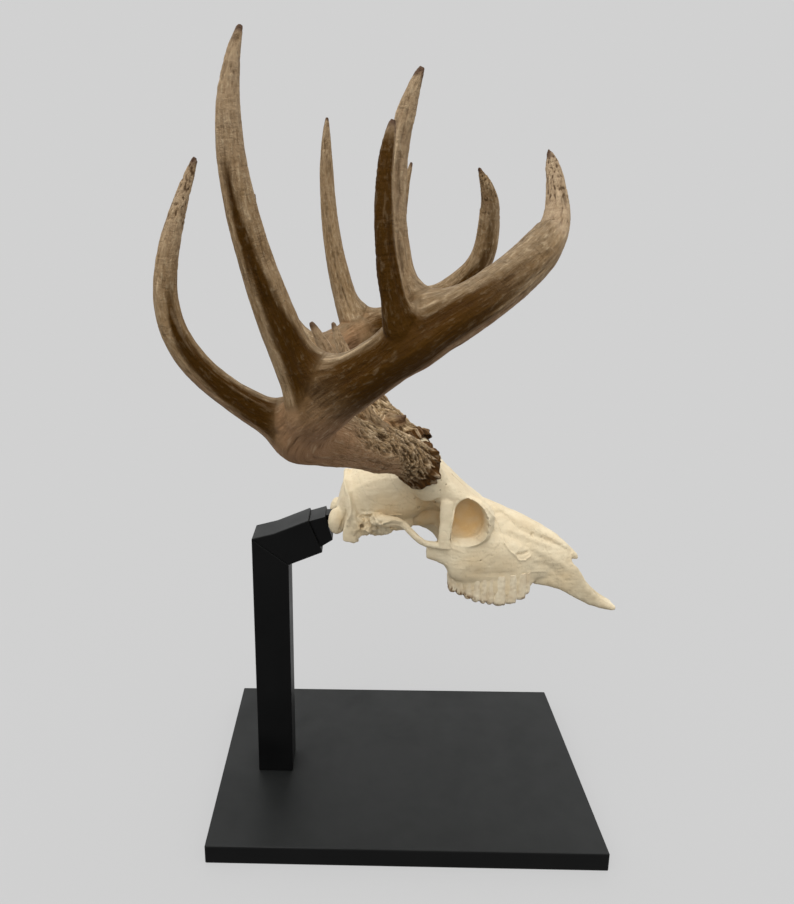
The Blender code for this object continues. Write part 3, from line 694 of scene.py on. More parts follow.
def skull_hollows():
    """What is open in the skull: the orbits, the nose, the arch of the palate and its slot."""
    bm = bmesh.new()
    both_sides(orbit_hollow, bm)
    lower_left_brow(bm)
    both_sides(oval, bm, (27, 40, 313), (21, 11.2, 17))
    nose = ((205, 0, 233), (178, 0, 244.5), (155, 0, 255), (125, 0, 264))
    bar(bm, nose, (10, 11.5, 12, 8), 16)
    oval(bm, (80, 0, 240), (52, 20, 13))
    bar(bm, ((150, 0, 226), (165, 0, 224), (192, 0, 215)), (4, 5.5, 3), 9)
    # The neck hole.
    tube(bm, mm(((-85, 0, 298.5), (-40, 0, 301.5))), mm((12.5, 11.5)))
    return fused(mesh_from_bmesh(bm, "hollows"), BONE_VOXEL, 1)


# Fine shape, drawn on the skull in side view as (x, z) points in millimetres, with how much each
# line stands out and how wide it is.
SIDE_LINES = mm((
    # Crest round the back of the head, and the edge of the neck joint.
    (((-58.5, 344), (-56, 336.3), (-53.3, 328.5), (-52, 318), (-54.5, 305)), 2.1, 1.3),
    (((-56.7, 314.7), (-59.2, 304.6), (-62.5, 294.7)), -1.4, 1.2),
    # Ridge over the ear opening and the jaw joint, and the hollows below it.
    (((-44, 313), (-40.8, 315.3), (-34.4, 316), (-30.5, 314.7), (-27.6, 310.1)), 1.5, 0.8),
    (((-27.6, 310.1), (-24, 308.4), (-18.8, 311.8), (-12.4, 314.1), (-5.3, 313.3)), 1.5, 0.8),
    (((-42.5, 311), (-37, 312.8), (-32, 311.5)), -1.3, 1.3),
    (((-23, 306), (-16.5, 309.5), (-8, 310.5)), -1, 1.6),
    (((-40, 301), (-33, 299), (-24, 301.5)), 0.9, 1.2),
    # Edge of the temple's muscle.
    (((6, 350), (-15, 349), (-35, 344), (-52, 335)), 0.5, 2),
    # Front of the orbit and the ridge that runs down from it.
    (((68.5, 328.6), (78.1, 317.3), (86, 306), (89.7, 296.4), (91.7, 287.6)), 1.1, 0.9),
    (((91.7, 287.6), (97, 280.6), (103.1, 275.3), (106.7, 270.8), (113, 269.5)), 1, 0.8),
    (((113, 269.5), (118.6, 271.8)), 0.8, 0.8),
    (((77, 312), (80, 302), (83, 292)), -1.2, 3),
    (((106, 276.2), (111, 275.2), (116, 275.8)), -1.8, 1.4),
    (((62, 296), (69, 302), (71, 310)), -0.4, 1.6),
    # Groove below the nasal bone, and swellings of the cheek.
    (((82.8, 310.6), (93, 310.7), (101.8, 305.4), (110.7, 296.5), (123, 289.4)), -1.3, 1.6),
    (((123, 289.4), (136.9, 284.1), (151, 277), (163.4, 269.9)), -1.3, 1.8),
    (((100, 296), (112, 290), (125, 284), (140, 278)), 0.9, 2.4),
    (((119, 279), (135, 271), (155, 258)), 1.2, 3.6),
    (((124, 264), (138, 259), (152, 248)), -0.8, 2.6),
    (((56, 264), (80, 260), (100, 258)), -0.7, 4),
    (((135.7, 253.9), (123.8, 255.9), (115.8, 256.2)), 0.5, 1.2),
    (((24, 290.5), (36.7, 289), (52, 283)), 0.4, 1.2),
))
# Seams between bones, as cuts that wander.
SIDE_SEAMS = mm((
    ((75.3, 325.1), (92.1, 312.8), (100.4, 306.8), (106.7, 299.9), (114.4, 296), (131.1, 290)),
    ((131.1, 290), (147.1, 279.5), (172, 261)),
    ((86.9, 288), (78, 279), (64, 273), (48, 276), (33, 283)),
    ((132, 284), (142, 264), (148, 245), (150, 233)),
    ((-18, 356), (-12, 342), (2, 327), (14, 320), (26, 316)),
    ((-46, 348), (-38, 333), (-25, 325), (-8, 323), (2, 327)),
    ((35, 306), (36, 303), (37.5, 300)),
))
# Holes for vessels and nerves: (x, z), depth and radius.
SIDE_HOLES = mm((
    ((-41.5, 303.9), 5, 2),
    ((12.1, 319.7), 2.6, 1.2),
    ((20.3, 326.9), 1.4, 0.9),
    ((27.3, 324.6), 1.4, 0.9),
    ((7.5, 330), 1, 0.8),
    ((73.5, 316), 2.2, 1.1),
    ((74.2, 309), 2.2, 1.2),
    ((73.5, 302), 1.8, 1.1),
    ((69, 274), 1, 0.8),
    ((29.9, 351.9), 0.8, 0.7),
    ((35.1, 346.9), 0.9, 0.8),
    ((29.2, 342.6), 0.7, 0.7),
))
# The same in top view, as (x, out): grooves of the brow, seams and holes.
TOP_LINES = mm((
    (((45, 21), (60, 20), (78, 17)), -0.9, 1.6),
    (((85, 0), (120, 0), (165, 0)), -0.6, 2),
    (((-55, 0), (-35, 0), (-20, 0)), 0.7, 2.2),
))
TOP_SEAMS = mm((
    ((-15, 0), (25, 0), (72, 0)),
    ((-15, 0), (-16.5, 15), (-12, 33)),
    ((72, 0), (74, 8), (86, 15)),
    ((72, 0), (120, 0), (176, 0)),
))
TOP_HOLES = mm((((45, 21), 2.8, 1.6), ((50, 22.5), 1.6, 1)))
# Tan stains with painted shade in the orbits, the temples' hollows and low on the skull: x, out, z and
# reach in millimetres, and strength.
STAIN_AND_SHADE_SPOTS = (
    (60, 30, 308, 20, 1.00),
    (20, 31, 315, 17, 0.55),
    (0, 36, 320, 20, 0.38),
    (-15, 38, 322, 18, 0.30),
    (30, 32, 308, 13, 0.50),
    (25, 12, 298, 20, 0.60),
    (-40, 40, 303, 9, 0.30),
    (60, 43, 260, 23, 0.22),
    (90, 40, 250, 22, 0.22),
    (150, 15, 240, 18, 0.18),
    (40, 40, 268, 12, 0.35),
    (-62, 20, 302, 6, 0.15),
)
# Painted shade, in the same way: where the bone is made greyer and darker, on the snout, below the cheek
# and by the ear.
SHADE_SPOTS = (
    (130, 20, 250, 26, 0.30),
    (155, 18, 245, 26, 0.45),
    (185, 14, 222, 26, 0.60),
    (75, 46, 250, 26, 0.18),
    (-50, 40, 295, 14, 0.30),
    (-25, 35, 298, 16, 0.25),
)
# The rough region round the ear, in the same way.
EAR = ((-34, 38, 300, 20, 1.0), (-14, 32, 302, 15, 0.8))
SEAM_DEPTH = 0.00025
SEAM_WIDTH = 0.0005
SEAM_WANDER = 0.0020
# Seams are dark of their own; the darkness of grooves and holes is painted shade.
SEAM_DARKNESS = 0.12
LINE_DARKNESS = 0.10
HOLE_DARKNESS = 0.65
# Upright furrows in the jaw, between the roots of the teeth.
ROOT_FURROW = 0.0005
ROOT_WIDTH = 0.0011
ROOT_REACH = (0.004, 0.018)


def line_distance(flat, points):
    """How far each (a, b) row is from a line through points, in the same plane."""
    best = np.full(len(flat), np.inf)
    for start, end in zip(points, points[1:]):
        start, along = np.array(start), np.subtract(end, start)
        t = np.clip((flat - start) @ along / (along @ along), 0.0, 1.0)
        best = np.minimum(best, np.linalg.norm(flat - start - t[:, None] * along, axis=1))
    return best


def draw_on(flat, facing, lines, seams, holes):
    """How far the lines, seams and holes move a surface, and how dark they make it, with painted shade in
    grooves and holes.
    """
    lift = np.zeros(len(flat))
    mark = np.zeros(len(flat))
    level = np.column_stack([flat, np.zeros(len(flat))])
    wander = np.column_stack([grain(level, 0.0016, seed) for seed in (1, 2)]) * SEAM_WANDER / 2
    for points, amount, width in lines:
        touch = bell(line_distance(flat + 0.25 * wander, smooth_path(points, 16)) / width)
        lift += amount * touch
        mark += LINE_DARKNESS * touch * (amount < 0)
    for points in seams:
        touch = bell(line_distance(flat + wander, smooth_path(points, 16)) / SEAM_WIDTH)
        lift -= SEAM_DEPTH * touch
        mark += SEAM_DARKNESS * touch
    for point, depth, radius in holes:
        touch = bell(np.linalg.norm(flat - point, axis=1) / radius, 4)
        lift -= depth * touch
        mark += HOLE_DARKNESS * touch
    return lift * facing, mark * facing


def before_roll(world):
    back = np.array(ROLL.inverted())
    return world @ back[:3, :3].T + back[:3, 3]


def finish_bone_surface(mesh):
    """Draws the fine shape on the skull and keeps what its material reads."""
    world = read_vectors(mesh, "co")
    local = before_roll(world)
    normals = read_vectors(mesh, "normal") @ np.array(ROLL)[:3, :3]
    out = local[:, 1] - SKULL_Y
    side = np.where(out < 0, -1.0, 1.0)
    seen = np.column_stack([local[:, 0], np.abs(out), local[:, 2]])
    outward = normals[:, 1] * side

    from_side = eased(outward, 0.05, 0.45)
    lift, mark = draw_on(seen[:, [0, 2]], from_side, SIDE_LINES, SIDE_SEAMS, SIDE_HOLES)
    from_top = eased(normals[:, 2], 0.35, 0.65)
    more_lift, more_mark = draw_on(seen[:, [0, 1]], from_top, TOP_LINES, TOP_SEAMS, TOP_HOLES)
    lift += more_lift
    mark += more_mark

    swell = grain(local, 0.018, 3) * 0.00045 + grain(local, 0.006, 4) * 0.00022
    swell += grain(local, (0.012, 0.012, 0.0022), 8) * 0.00010
    pitted = np.clip(grain(local, 0.0022, 5) - 0.35, 0.0, 1.0)
    lift += swell - pitted * 0.0004
    # The ear region is a jumble of small knobs and hollows.
    ear = at_spots(seen, EAR)
    lift += ear * (grain(local, 0.0046, 11) * 0.0013 + grain(local, 0.0021, 12) * 0.0006)
    # Painted shade in the pits.
    mark += pitted * 0.22 * eased(grain(local, 0.020, 6), 0.0, 0.7)

    above = seen[:, 2] - np.interp(seen[:, 0], *zip(*TOOTH_LOW))
    from_edge = np.min([np.abs(seen[:, 0] - x) for x in lobe_edges()], axis=0)
    root = bell(from_edge / ROOT_WIDTH) * eased(above, *reversed(ROOT_REACH)) * from_side
    lift -= root * ROOT_FURROW
    # Painted shade in the furrows.
    mark += 0.06 * root

    # Tan stains, with painted shade in the orbits and the temples' hollows.
    stain = at_spots(seen, STAIN_AND_SHADE_SPOTS) * (0.85 + 0.3 * grain(local, 0.008, 7))
    # Painted shade on the snout, below the cheek and by the ear.
    grime = at_spots(seen, SHADE_SPOTS) * (0.85 + 0.4 * grain(local, 0.006, 9))
    # Painted shade in the underside, the nose and the palate: what faces down is made tan too.
    under = eased(normals[:, 2], -0.35, -0.95)
    stain = np.maximum(stain, 0.35 * under)

    write_places(mesh, world + read_vectors(mesh, "normal") * lift[:, None])
    stain, grime = np.clip((stain, grime), 0.0, 1.0)
    keep_values(mesh, stain=stain, grime=grime, mark=np.clip(mark, 0.0, 0.9))


def at_spots(points, spots):
    """The strongest of the spots at each point."""
    found = np.zeros(len(points))
    for *spot, reach, strength in spots:
        away = np.linalg.norm(points - mm(spot), axis=1) / mm(reach)
        found = np.maximum(found, strength * eased(away, 1.25, 0.55))
    return found


def build_skull(finish):
    bm = bmesh.new()
    add_braincase(bm)
    add_skull_base(bm)
    add_forehead(bm)
    add_face(bm)
    lower_left_brow(bm)
    roll(bm)
    for side in (RIGHT, LEFT):
        ends = [PEDICLE_FOOT, ANTLERS[side]["beam"][0]]
        tube(bm, ends, [PEDICLE_RADIUS * 1.20, PEDICLE_RADIUS], side)
    clay = fused(mesh_from_bmesh(bm, "clay"), CLAY_VOXEL, 7)
    hollows = skull_hollows()
    hollows.transform(ROLL)
    clay = carved(clay, hollows)

    # The thin bars are added last, so that the easing doesn't wear them away.
    bars = bmesh.new()
    add_orbit_bars(bars)
    add_cheek_arches(bars)
    lower_left_brow(bars)
    roll(bars)
    whole = bmesh.new()
    whole.from_mesh(clay)
    whole.from_mesh(mesh_from_bmesh(bars, "bars"))
    skull = fused(mesh_from_bmesh(whole, "skull"), BONE_VOXEL, 9)
    finish_bone_surface(skull)
    nodes = sorted(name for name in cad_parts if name.startswith("skull_"))
    place_piece("skull", skull, finish, "bone", *nodes)


# Each tooth from the back of the row: where it starts and ends in x, and its lobes.
TEETH = (
    (0.0412, 0.0560, 2),
    (0.0560, 0.0705, 2),
    (0.0705, 0.0835, 2),
    (0.0835, 0.0945, 1),
    (0.0945, 0.1050, 1),
    (0.1050, 0.1145, 1),
    (0.1145, 0.1195, 1),
)
TOOTH_LOW = mm(((40, 242), (53, 235.2), (68, 228.7), (90, 224.8), (106, 226.5), (120, 235)))
TOOTH_OUT = mm(((40, 35), (68, 34.5), (90, 32), (106, 29), (120, 25.8)))
TOOTH_HALF_WIDTH = mm(((40, 6.6), (68, 8.8), (90, 8.4), (106, 7), (120, 4.4)))
TOOTH_GAP = 0.0003
# Radii of a column from gum to tip, in lengths of a lobe, and how much the cusps vary in height.
COLUMN_RADII = (0.66, 0.67, 0.65, 0.52, 0.25)
CUSP_VARIATION = 0.0006
GUM = 0.2520


def along_row(table, x):
    return float(np.interp(x, *zip(*table)))


def lobe_edges():
    """Where each lobe of a tooth ends and the next begins."""
    return [start + (end - start) * k / lobes for start, end, lobes in TEETH for k in range(lobes)]


def add_tooth(bm, start, end, lobes, side):
    """Rounded columns side by side, each with an outer cusp and a lower inner one."""
    length = (end - start - TOOTH_GAP) / lobes
    for k in range(lobes):
        x = start + TOOTH_GAP / 2 + (k + 0.5) * length
        low, out, half = (along_row(table, x) for table in (TOOTH_LOW, TOOTH_OUT, TOOTH_HALF_WIDTH))
        low += CUSP_VARIATION * math.sin(2.4 * k + 900.0 * start)
        for share, drop in ((0.48, 0.0), (-0.42, -0.0012)):
            middle = out + share * half
            stack = [
                (x, middle, GUM + 0.004),
                (x, middle, GUM - 0.004),
                (x, middle, low + 0.0042 - drop),
                (x - 0.0003, middle + 0.08 * half, low + 0.0018 - drop),
                (x - 0.0004, middle + 0.12 * half, low + 0.0001 - drop),
            ]
            radii = smooth_path([[length * radius] for radius in COLUMN_RADII], 12)[:, 0]
            flat = 1.03 * half / length
            tube(bm, smooth_path(stack, 12), radii, side, (0.0, 1.0, 0.0), flat)


def build_teeth(side, finish):
    bm = bmesh.new()
    for start, end, lobes in TEETH:
        add_tooth(bm, start, end, lobes, side)
    roll(bm)
    teeth = fused(mesh_from_bmesh(bm, "teeth"), TOOTH_VOXEL, 2)
    places = read_vectors(teeth, "co")
    normals = read_vectors(teeth, "normal")
    write_places(teeth, places + normals * (grain(places, 0.003, 1) * 0.0002)[:, None])
    places = before_roll(places)
    gaps = np.min([np.abs(places[:, 0] - start) for start, _, _ in TEETH], axis=0)
    # Brown between the teeth, at the worn ends and on the rear teeth.
    above = places[:, 2] - np.interp(places[:, 0], *zip(*TOOTH_LOW))
    stain = 0.45 * eased(gaps, 0.0009, 0.0002) * eased(above, 0.0080, 0.0020)
    worn = eased(above + 0.0012 * grain(places, 0.003, 3), 0.0030, 0.0006)
    stain = np.maximum(stain, 0.60 * worn)
    rear = eased(places[:, 0], 0.090, 0.056) * eased(above, 0.0080, 0.0030)
    stain = np.maximum(stain, rear * eased(grain(places, (0.0016, 0.004, 0.004), 2), -0.3, 0.5))
    keep_values(teeth, stain=stain)
    place_piece("teeth_" + SIDE_NAMES[side], teeth, finish, "bone")


# ---------------------------------------------------------------- antlers

# In millimetres, a beam is its knots (x, out, z, radius), from the burr to the tip, and a tine is
# the four handles of its curve and its radii from root to tip.
TIP = 1.3
RIGHT_ANTLER = mm({
    "beam": [
        (11, 44, 367, 18),
        (-13, 72, 388, 18.2),
        (-42, 112, 405.5, 18.8),
        (-69, 150, 423, 21),
        (-84, 172, 437, 22.6),
        (-68, 198, 461, 20),
        (-34, 223, 490, 17.5),
        (3, 233, 516.2, 16.5),
        (40, 221, 539.2, 14.7),
        (69, 200, 561.2, 13.5),
        (83, 182, 580, 10),
        (85, 168, 603, 7),
        (83.8, 159, 619, 4.6),
        (81.5, 156, 627, TIP),
    ],
    "tines": {
        "brow": (
            ((-30, 98, 402), (-50, 98, 440), (-66, 103, 473), (-83, 106, 505)),
            (13, 10, 8.2, 6, TIP),
        ),
        "second": (
            ((-86, 170, 431), (-182.5, 209, 491), (-184, 222, 526.5), (-150.5, 190, 620.5)),
            (14.8, 10.4, 9.3, 7.7, 6.4, TIP),
        ),
        "third": (
            ((-75, 196, 460), (-105, 218, 534), (-139.5, 231, 618), (-115.5, 213, 692)),
            (16.5, 13.2, 11.2, 9.6, 7.1, TIP),
        ),
        "fourth": (
            ((-9, 222, 513), (-29, 206, 565), (-27, 212, 628), (-8, 208, 669)),
            (13, 8.3, 7, 6.6, 6, TIP),
        ),
        "extra": (
            ((-16, 234, 510), (-34, 252, 551), (-34, 243, 606), (-26, 236, 636)),
            (11.5, 7.6, 6.2, 5.6, 4.6, TIP),
        ),
    },
})
LEFT_ANTLER = mm({
    "beam": [
        (11, 52, 360.5, 16.5),
        (-14, 82, 377.5, 16.5),
        (-46, 120, 397, 16.8),
        (-72, 152, 420, 18),
        (-85, 172, 436, 18.5),
        (-70, 192, 446, 18),
        (-32, 210, 463.5, 16.8),
        (17, 217, 482, 16),
        (64, 208, 507, 14.8),
        (95, 186, 544, 13.4),
        (98.5, 166, 595, 10.6),
        (92, 153, 620, 7.6),
        (81, 144, 640, TIP),
    ],
    "tines": {
        "brow": (
            ((-30, 98, 392), (-46, 99, 417), (-62, 107, 447), (-73, 108, 480)),
            (12.5, 10, 8.8, 6.2, TIP),
        ),
        "second": (
            ((-83, 168, 436), (-138, 192, 461), (-180, 214, 553), (-166, 200, 617)),
            (15, 10.6, 9.3, 8.6, 7.4, TIP),
        ),
        "third": (
            ((-44, 204, 452), (-80, 219, 528), (-86, 212, 617), (-82, 209, 700)),
            (17, 13.2, 11.4, 9.2, 7.4, TIP),
        ),
        "fourth": (
            ((17, 217, 482), (-2, 223, 538), (0, 218, 596), (15, 216, 652)),
            (15, 9.5, 8, 6.7, 5.2, TIP),
        ),
        "spur": (
            ((-12, 74, 379), (-10, 64, 381), (-5, 58, 383.5), (3, 55, 388.5)),
            (7.4, 5.8, 4.2, TIP),
        ),
    },
})
ANTLERS = {RIGHT: RIGHT_ANTLER, LEFT: LEFT_ANTLER}
TIP_ROUNDING = 0.65
CURVE_STEP = 0.002
FORK_FILLET = mm({"brow": 12, "second": 14, "third": 30, "fourth": 30, "extra": 12, "spur": 8})
SIDE_FILLET = 0.018
NOTCH_FILLET = 0.0055
BLEND_REACH = 0.0022
# How pale each stem gets, and the shares of its length where that sets in and is full.
PALE_ENDS = {
    (RIGHT, "beam"): (1.0, 0.845, 0.875),
    (RIGHT, "second"): (0.80, 0.58, 0.92),
    (RIGHT, "third"): (0.80, 0.45, 0.90),
    (RIGHT, "fourth"): (0.65, 0.10, 0.55),
    (RIGHT, "extra"): (0.35, 0.85, 1.00),
    (LEFT, "beam"): (0.0, 0.80, 1.00),
    (LEFT, "second"): (0.70, 0.58, 0.92),
    (LEFT, "third"): (0.45, 0.35, 0.90),
    (LEFT, "fourth"): (0.50, 0.50, 1.00),
    (LEFT, "spur"): (0.0, 0.0, 1.0),
}
BROW_PALENESS = (0.50, 0.10, 0.70)
# The dark face of a stem, dark brown of its own and with painted shade: the way its middle faces at
# its start and its end as (x, out, z), its half width there in radians, and the shares of the length
# between which it sets in and fades.
AT_ROOT = (-0.10, 0.0)
DARK_FACES = {
    (RIGHT, "beam"): ((0.0, 1.0, 0.05), (0.1, 0.95, 0.0), 1.10, 0.35, (0.41, 0.53), (0.68, 0.86)),
    (RIGHT, "second"): ((0.0, 0.93, 0.30), (0.60, 0.80, 0.0), 1.10, 0.15, AT_ROOT, (0.54, 0.74)),
    (RIGHT, "third"): ((0.50, 0.90, 0.0), (-0.38, 0.93, 0.0), 1.05, 0.06, AT_ROOT, (0.62, 0.72)),
    (RIGHT, "fourth"): ((-0.6, 0.80, 0.0), (-0.70, 0.70, 0.0), 0.60, 0.10, AT_ROOT, (0.02, 0.20)),
    (RIGHT, "extra"): ((-0.25, 0.97, 0.0), (-0.25, 0.97, 0.0), 1.40, 1.10, AT_ROOT, (0.88, 0.98)),
    (LEFT, "beam"): ((0.0, -1.0, -0.10), (0.2, -0.95, 0.0), 0.50, 0.25, (0.39, 0.50), (0.72, 1.02)),
    (LEFT, "second"): ((0.0, 0.90, 0.40), (0.60, 0.80, 0.0), 0.95, 0.15, AT_ROOT, (0.52, 0.72)),
    (LEFT, "third"): ((0.50, 0.90, 0.0), (-0.38, 0.93, 0.0), 0.95, 0.10, AT_ROOT, (0.55, 0.72)),
    (LEFT, "fourth"): ((-0.3, -0.95, 0.0), (-0.3, -0.95, 0.0), 0.60, 0.30, AT_ROOT, (0.60, 0.90)),
}
DARK_EDGE = 0.20
# How strongly a stem is pitted at its tip, and how strongly it is ringed, where not once.
PITTED = {"beam": 1.3, "second": 1.9}
RINGED = {(LEFT, "beam"): 2.4, (RIGHT, "extra"): 1.6}
# Long furrows (below 0) and ridges on the stems: the stem, where each starts and ends as a share of
# the stem's length, the way it faces there as (x, out, z), its height and half width.
CREASES = {
    RIGHT: (
        ("third", 0.68, 0.30, (-0.42, 0.90, 0.0), (-0.05, 1.0, 0.0), -0.0016, 0.0020),
        ("third", 0.36, 0.04, (0.0, 1.0, 0.0), (0.3, 0.95, 0.1), -0.0020, 0.0075),
        ("second", 0.04, 0.58, (0.15, 0.75, 0.64), (0.60, 0.80, 0.10), 0.0016, 0.0012),
        ("second", 0.10, 0.50, (0.0, 0.98, -0.10), (0.2, 0.98, 0.0), -0.0012, 0.0050),
        ("fourth", 0.05, 0.80, (-0.40, 0.92, 0.0), (-0.35, 0.94, 0.0), 0.0010, 0.0013),
        ("fourth", 0.10, 0.70, (0.15, 0.98, 0.0), (0.10, 0.98, 0.0), -0.0008, 0.0016),
        ("extra", 0.05, 0.60, (0.55, 0.82, 0.0), (0.45, 0.88, 0.0), -0.0009, 0.0014),
        ("beam", 0.44, 0.78, (0.0, 0.90, 0.42), (0.1, 0.90, 0.42), -0.0012, 0.0060),
        ("beam", 0.44, 0.66, (-0.30, 0.40, 0.85), (-0.30, 0.40, 0.85), 0.0012, 0.0012),
    ),
    LEFT: (
        ("third", 0.62, 0.10, (-0.30, -0.94, 0.0), (0.10, -1.0, 0.0), -0.0013, 0.0020),
        ("second", 0.06, 0.60, (0.2, -0.75, 0.60), (0.5, -0.80, 0.10), 0.0014, 0.0016),
        ("fourth", 0.10, 0.60, (-0.40, -0.90, 0.0), (-0.20, -0.95, 0.0), -0.0010, 0.0015),
        ("beam", 0.40, 0.80, (0.0, -0.80, 0.55), (0.0, -0.85, 0.45), -0.0010, 0.0050),
    ),
}
# How far before its ends a crease sets in and how far past them it is full, as shares of the stem's
# length, and what ridges and furrows add to the relief.
CREASE_ENDS = (0.03, 0.05)
RIDGE_RELIEF = 0.65
FURROW_RELIEF = -0.50
# Where a beam's last length sets in behind a lip, as a share of its length, and how much thinner it is.
TIP_STEP = {RIGHT: (0.865, 0.0014), LEFT: (0.900, 0.0006)}


def tapered(girth, count):
    """Radii spread along a tine, with a rounded rather than a straight taper to its tip."""
    radii = spread(girth, count)
    last = 1 - 1 / (len(girth) - 1)
    left = np.clip((1 - np.linspace(0, 1, count)) / (1 - last), 0, 1)
    rounded = girth[-1] + (girth[-2] - girth[-1]) * left**TIP_ROUNDING
    return np.where(left < 1, rounded, radii)


def evenly(points, radii):
    """The same curve, with a row every CURVE_STEP."""
    reach = np.concatenate([[0.0], np.linalg.norm(np.diff(points, axis=0), axis=1).cumsum()])
    places = np.linspace(0.0, reach[-1], int(reach[-1] / CURVE_STEP) + 2)
    columns = [np.interp(places, reach, column) for column in points.T]
    return np.column_stack(columns), np.interp(places, reach, radii), places


class Stem:
    """A beam or a tine as rows: its middle, radius, length so far, and the two ways across it."""

    def __init__(self, points, radii, side):
        self.side = side
        world = np.array([place(point, side) for point in points])
        self.middle, self.radius, self.length = evenly(world, np.asarray(radii))
        along = np.gradient(self.middle, axis=0)
        self.along = along / np.linalg.norm(along, axis=1)[:, None]
        across = np.array((0.0, -side, 0.3))
        rows = []
        for direction in self.along:
            across = across - direction * (across @ direction)
            across = across / np.linalg.norm(across)
            rows.append(across)
        self.across = np.array(rows)
        self.over = np.cross(self.along, self.across)

    def share(self, row):
        """How far along the stem a row is, from 0 to 1."""
        return self.read(self.length, row) / self.length[-1]

    def off_way(self, row, outward, t, way_from, way_to):
        """The angle between the way out and a way that swings with t, given as (x, out, z)."""
        t = t[:, None]
        way = (1 - t) * np.array(way_from) + t * np.array(way_to)
        way[:, 1] *= self.side
        along = self.read(self.along, row)
        way = unit(way - along * (way * along).sum(1)[:, None])
        return np.arccos(np.clip((way * outward).sum(1), -1.0, 1.0))

    def read(self, values, row):
        low = np.minimum(row.astype(int), len(values) - 2)
        t = row - low
        if values.ndim == 2:
            t = t[:, None]
        return values[low] * (1 - t) + values[low + 1] * t

    def around(self, points):
        """For each point, its row on the stem, its distance from the stem's skin and the way out."""
        index = np.empty(len(points), int)
        block = 20000
        for first in range(0, len(points), block):
            some = points[first : first + block]
            # Squared distances from each row, less each point's own square.
            apart = (self.middle**2).sum(1) - 2 * some @ self.middle.T
            index[first : first + block] = apart.argmin(1)
        offset = ((points - self.middle[index]) * self.along[index]).sum(1)
        spacing = self.length[1] - self.length[0]
        row = np.clip(index + np.clip(offset / spacing, -1.0, 1.0), 0.0, len(self.middle) - 1.001)
        away = points - self.read(self.middle, row)
        distance = np.linalg.norm(away, axis=1)
        return row, distance - self.read(self.radius, row), away / np.maximum(distance, 1e-9)[:, None]

    def unrolled(self, row, outward):
        """A point on the stem's skin as two ways across it and the length along it."""
        radius = self.read(self.radius, row)
        a = (outward * self.read(self.across, row)).sum(1) * radius
        b = (outward * self.read(self.over, row)).sum(1) * radius
        return np.column_stack([a, b, self.read(self.length, row)])


def unit(rows):
    return rows / np.maximum(np.linalg.norm(rows, axis=1), 1e-9)[:, None]


def joined(found):
    """Distance from the skins of all the stems as one, and the way out.

    A wide fillet fills the crotch in front of a tine, another joins the skins that face one way, and
    a small one rounds the notches.
    """
    total, outward = found["beam"][1:]
    for name, (_, other, way) in found.items():
        if name == "beam":
            continue
        apart = eased(1.0 - (outward * way).sum(1), 0.0, 0.9)
        in_front = eased(way[:, 0], -0.2, 0.4)
        fill = np.zeros(len(total))
        fork = (FORK_FILLET[name], apart * in_front)
        for reach, amount in (fork, (SIDE_FILLET, 1.0 - apart), (NOTCH_FILLET, 1.0)):
            near = np.clip(reach - np.abs(total - other), 0.0, None) / reach
            fill = np.maximum(fill, near**2 * amount * reach / 4)
        share = np.clip(0.5 + (total - other) / (2 * SIDE_FILLET), 0.0, 1.0)[:, None]
        total = np.minimum(total, other) - fill
        outward = unit(outward * (1 - share) + way * share)
    return total, outward


def antler_stems(spec, side):
    beam = smooth_path(spec["beam"], 240)
    stems = {"beam": Stem(beam[:, :3], beam[:, 3], side)}
    for name, (handles, girth) in spec["tines"].items():
        stems[name] = Stem(handle_path(handles, 120), tapered(girth, 120), side)
    return stems


def rough_antler(stems):
    """One coarse skin round all the stems."""
    bm = bmesh.new()
    for stem in stems.values():
        rings = []
        for centre, radius, across, over in zip(stem.middle, stem.radius, stem.across, stem.over):
            spokes = [math.cos(turn) * across + math.sin(turn) * over for turn in turns()]
            rings.append([Vector(centre + radius * spoke) for spoke in spokes])
        closed_loft(bm, rings)
    return fused(mesh_from_bmesh(bm, "antler"), ANTLER_VOXEL, 1)


def crease(stem, row, outward, start, end, way_from, way_to, height, width):
    """How much a furrow or a ridge lifts some points, and what it adds to their relief."""
    share = stem.share(row)
    t = np.clip((share - start) / (end - start), 0.0, 1.0)
    apart = stem.off_way(row, outward, t, way_from, way_to) * stem.read(stem.radius, row)
    near = bell(apart / width, 1 if height > 0 else 2)
    low, high = min(start, end), max(start, end)
    before, past = CREASE_ENDS
    ends = eased(share, low - before, low + past) * eased(share, high + before, high - past)
    return height * near * ends, near * ends * (RIDGE_RELIEF if height > 0 else FURROW_RELIEF)


def dark_face(stem, row, outward, streak, way_from, way_to, wide, narrow, starts, ends):
    """How much of a stem's dark face, its own dark brown with painted shade, some points have, from 0 to
    1.
    """
    share = stem.share(row)
    t = np.clip((share - starts[1]) / (ends[1] - starts[1]), 0.0, 1.0)
    off = stem.off_way(row, outward, t, way_from, way_to) + 0.20 * streak
    half = wide + (narrow - wide) * t
    lengthwise = eased(share, *starts) * eased(share, ends[1], ends[0])
    return lengthwise * eased(off, half + DARK_EDGE, half - DARK_EDGE)


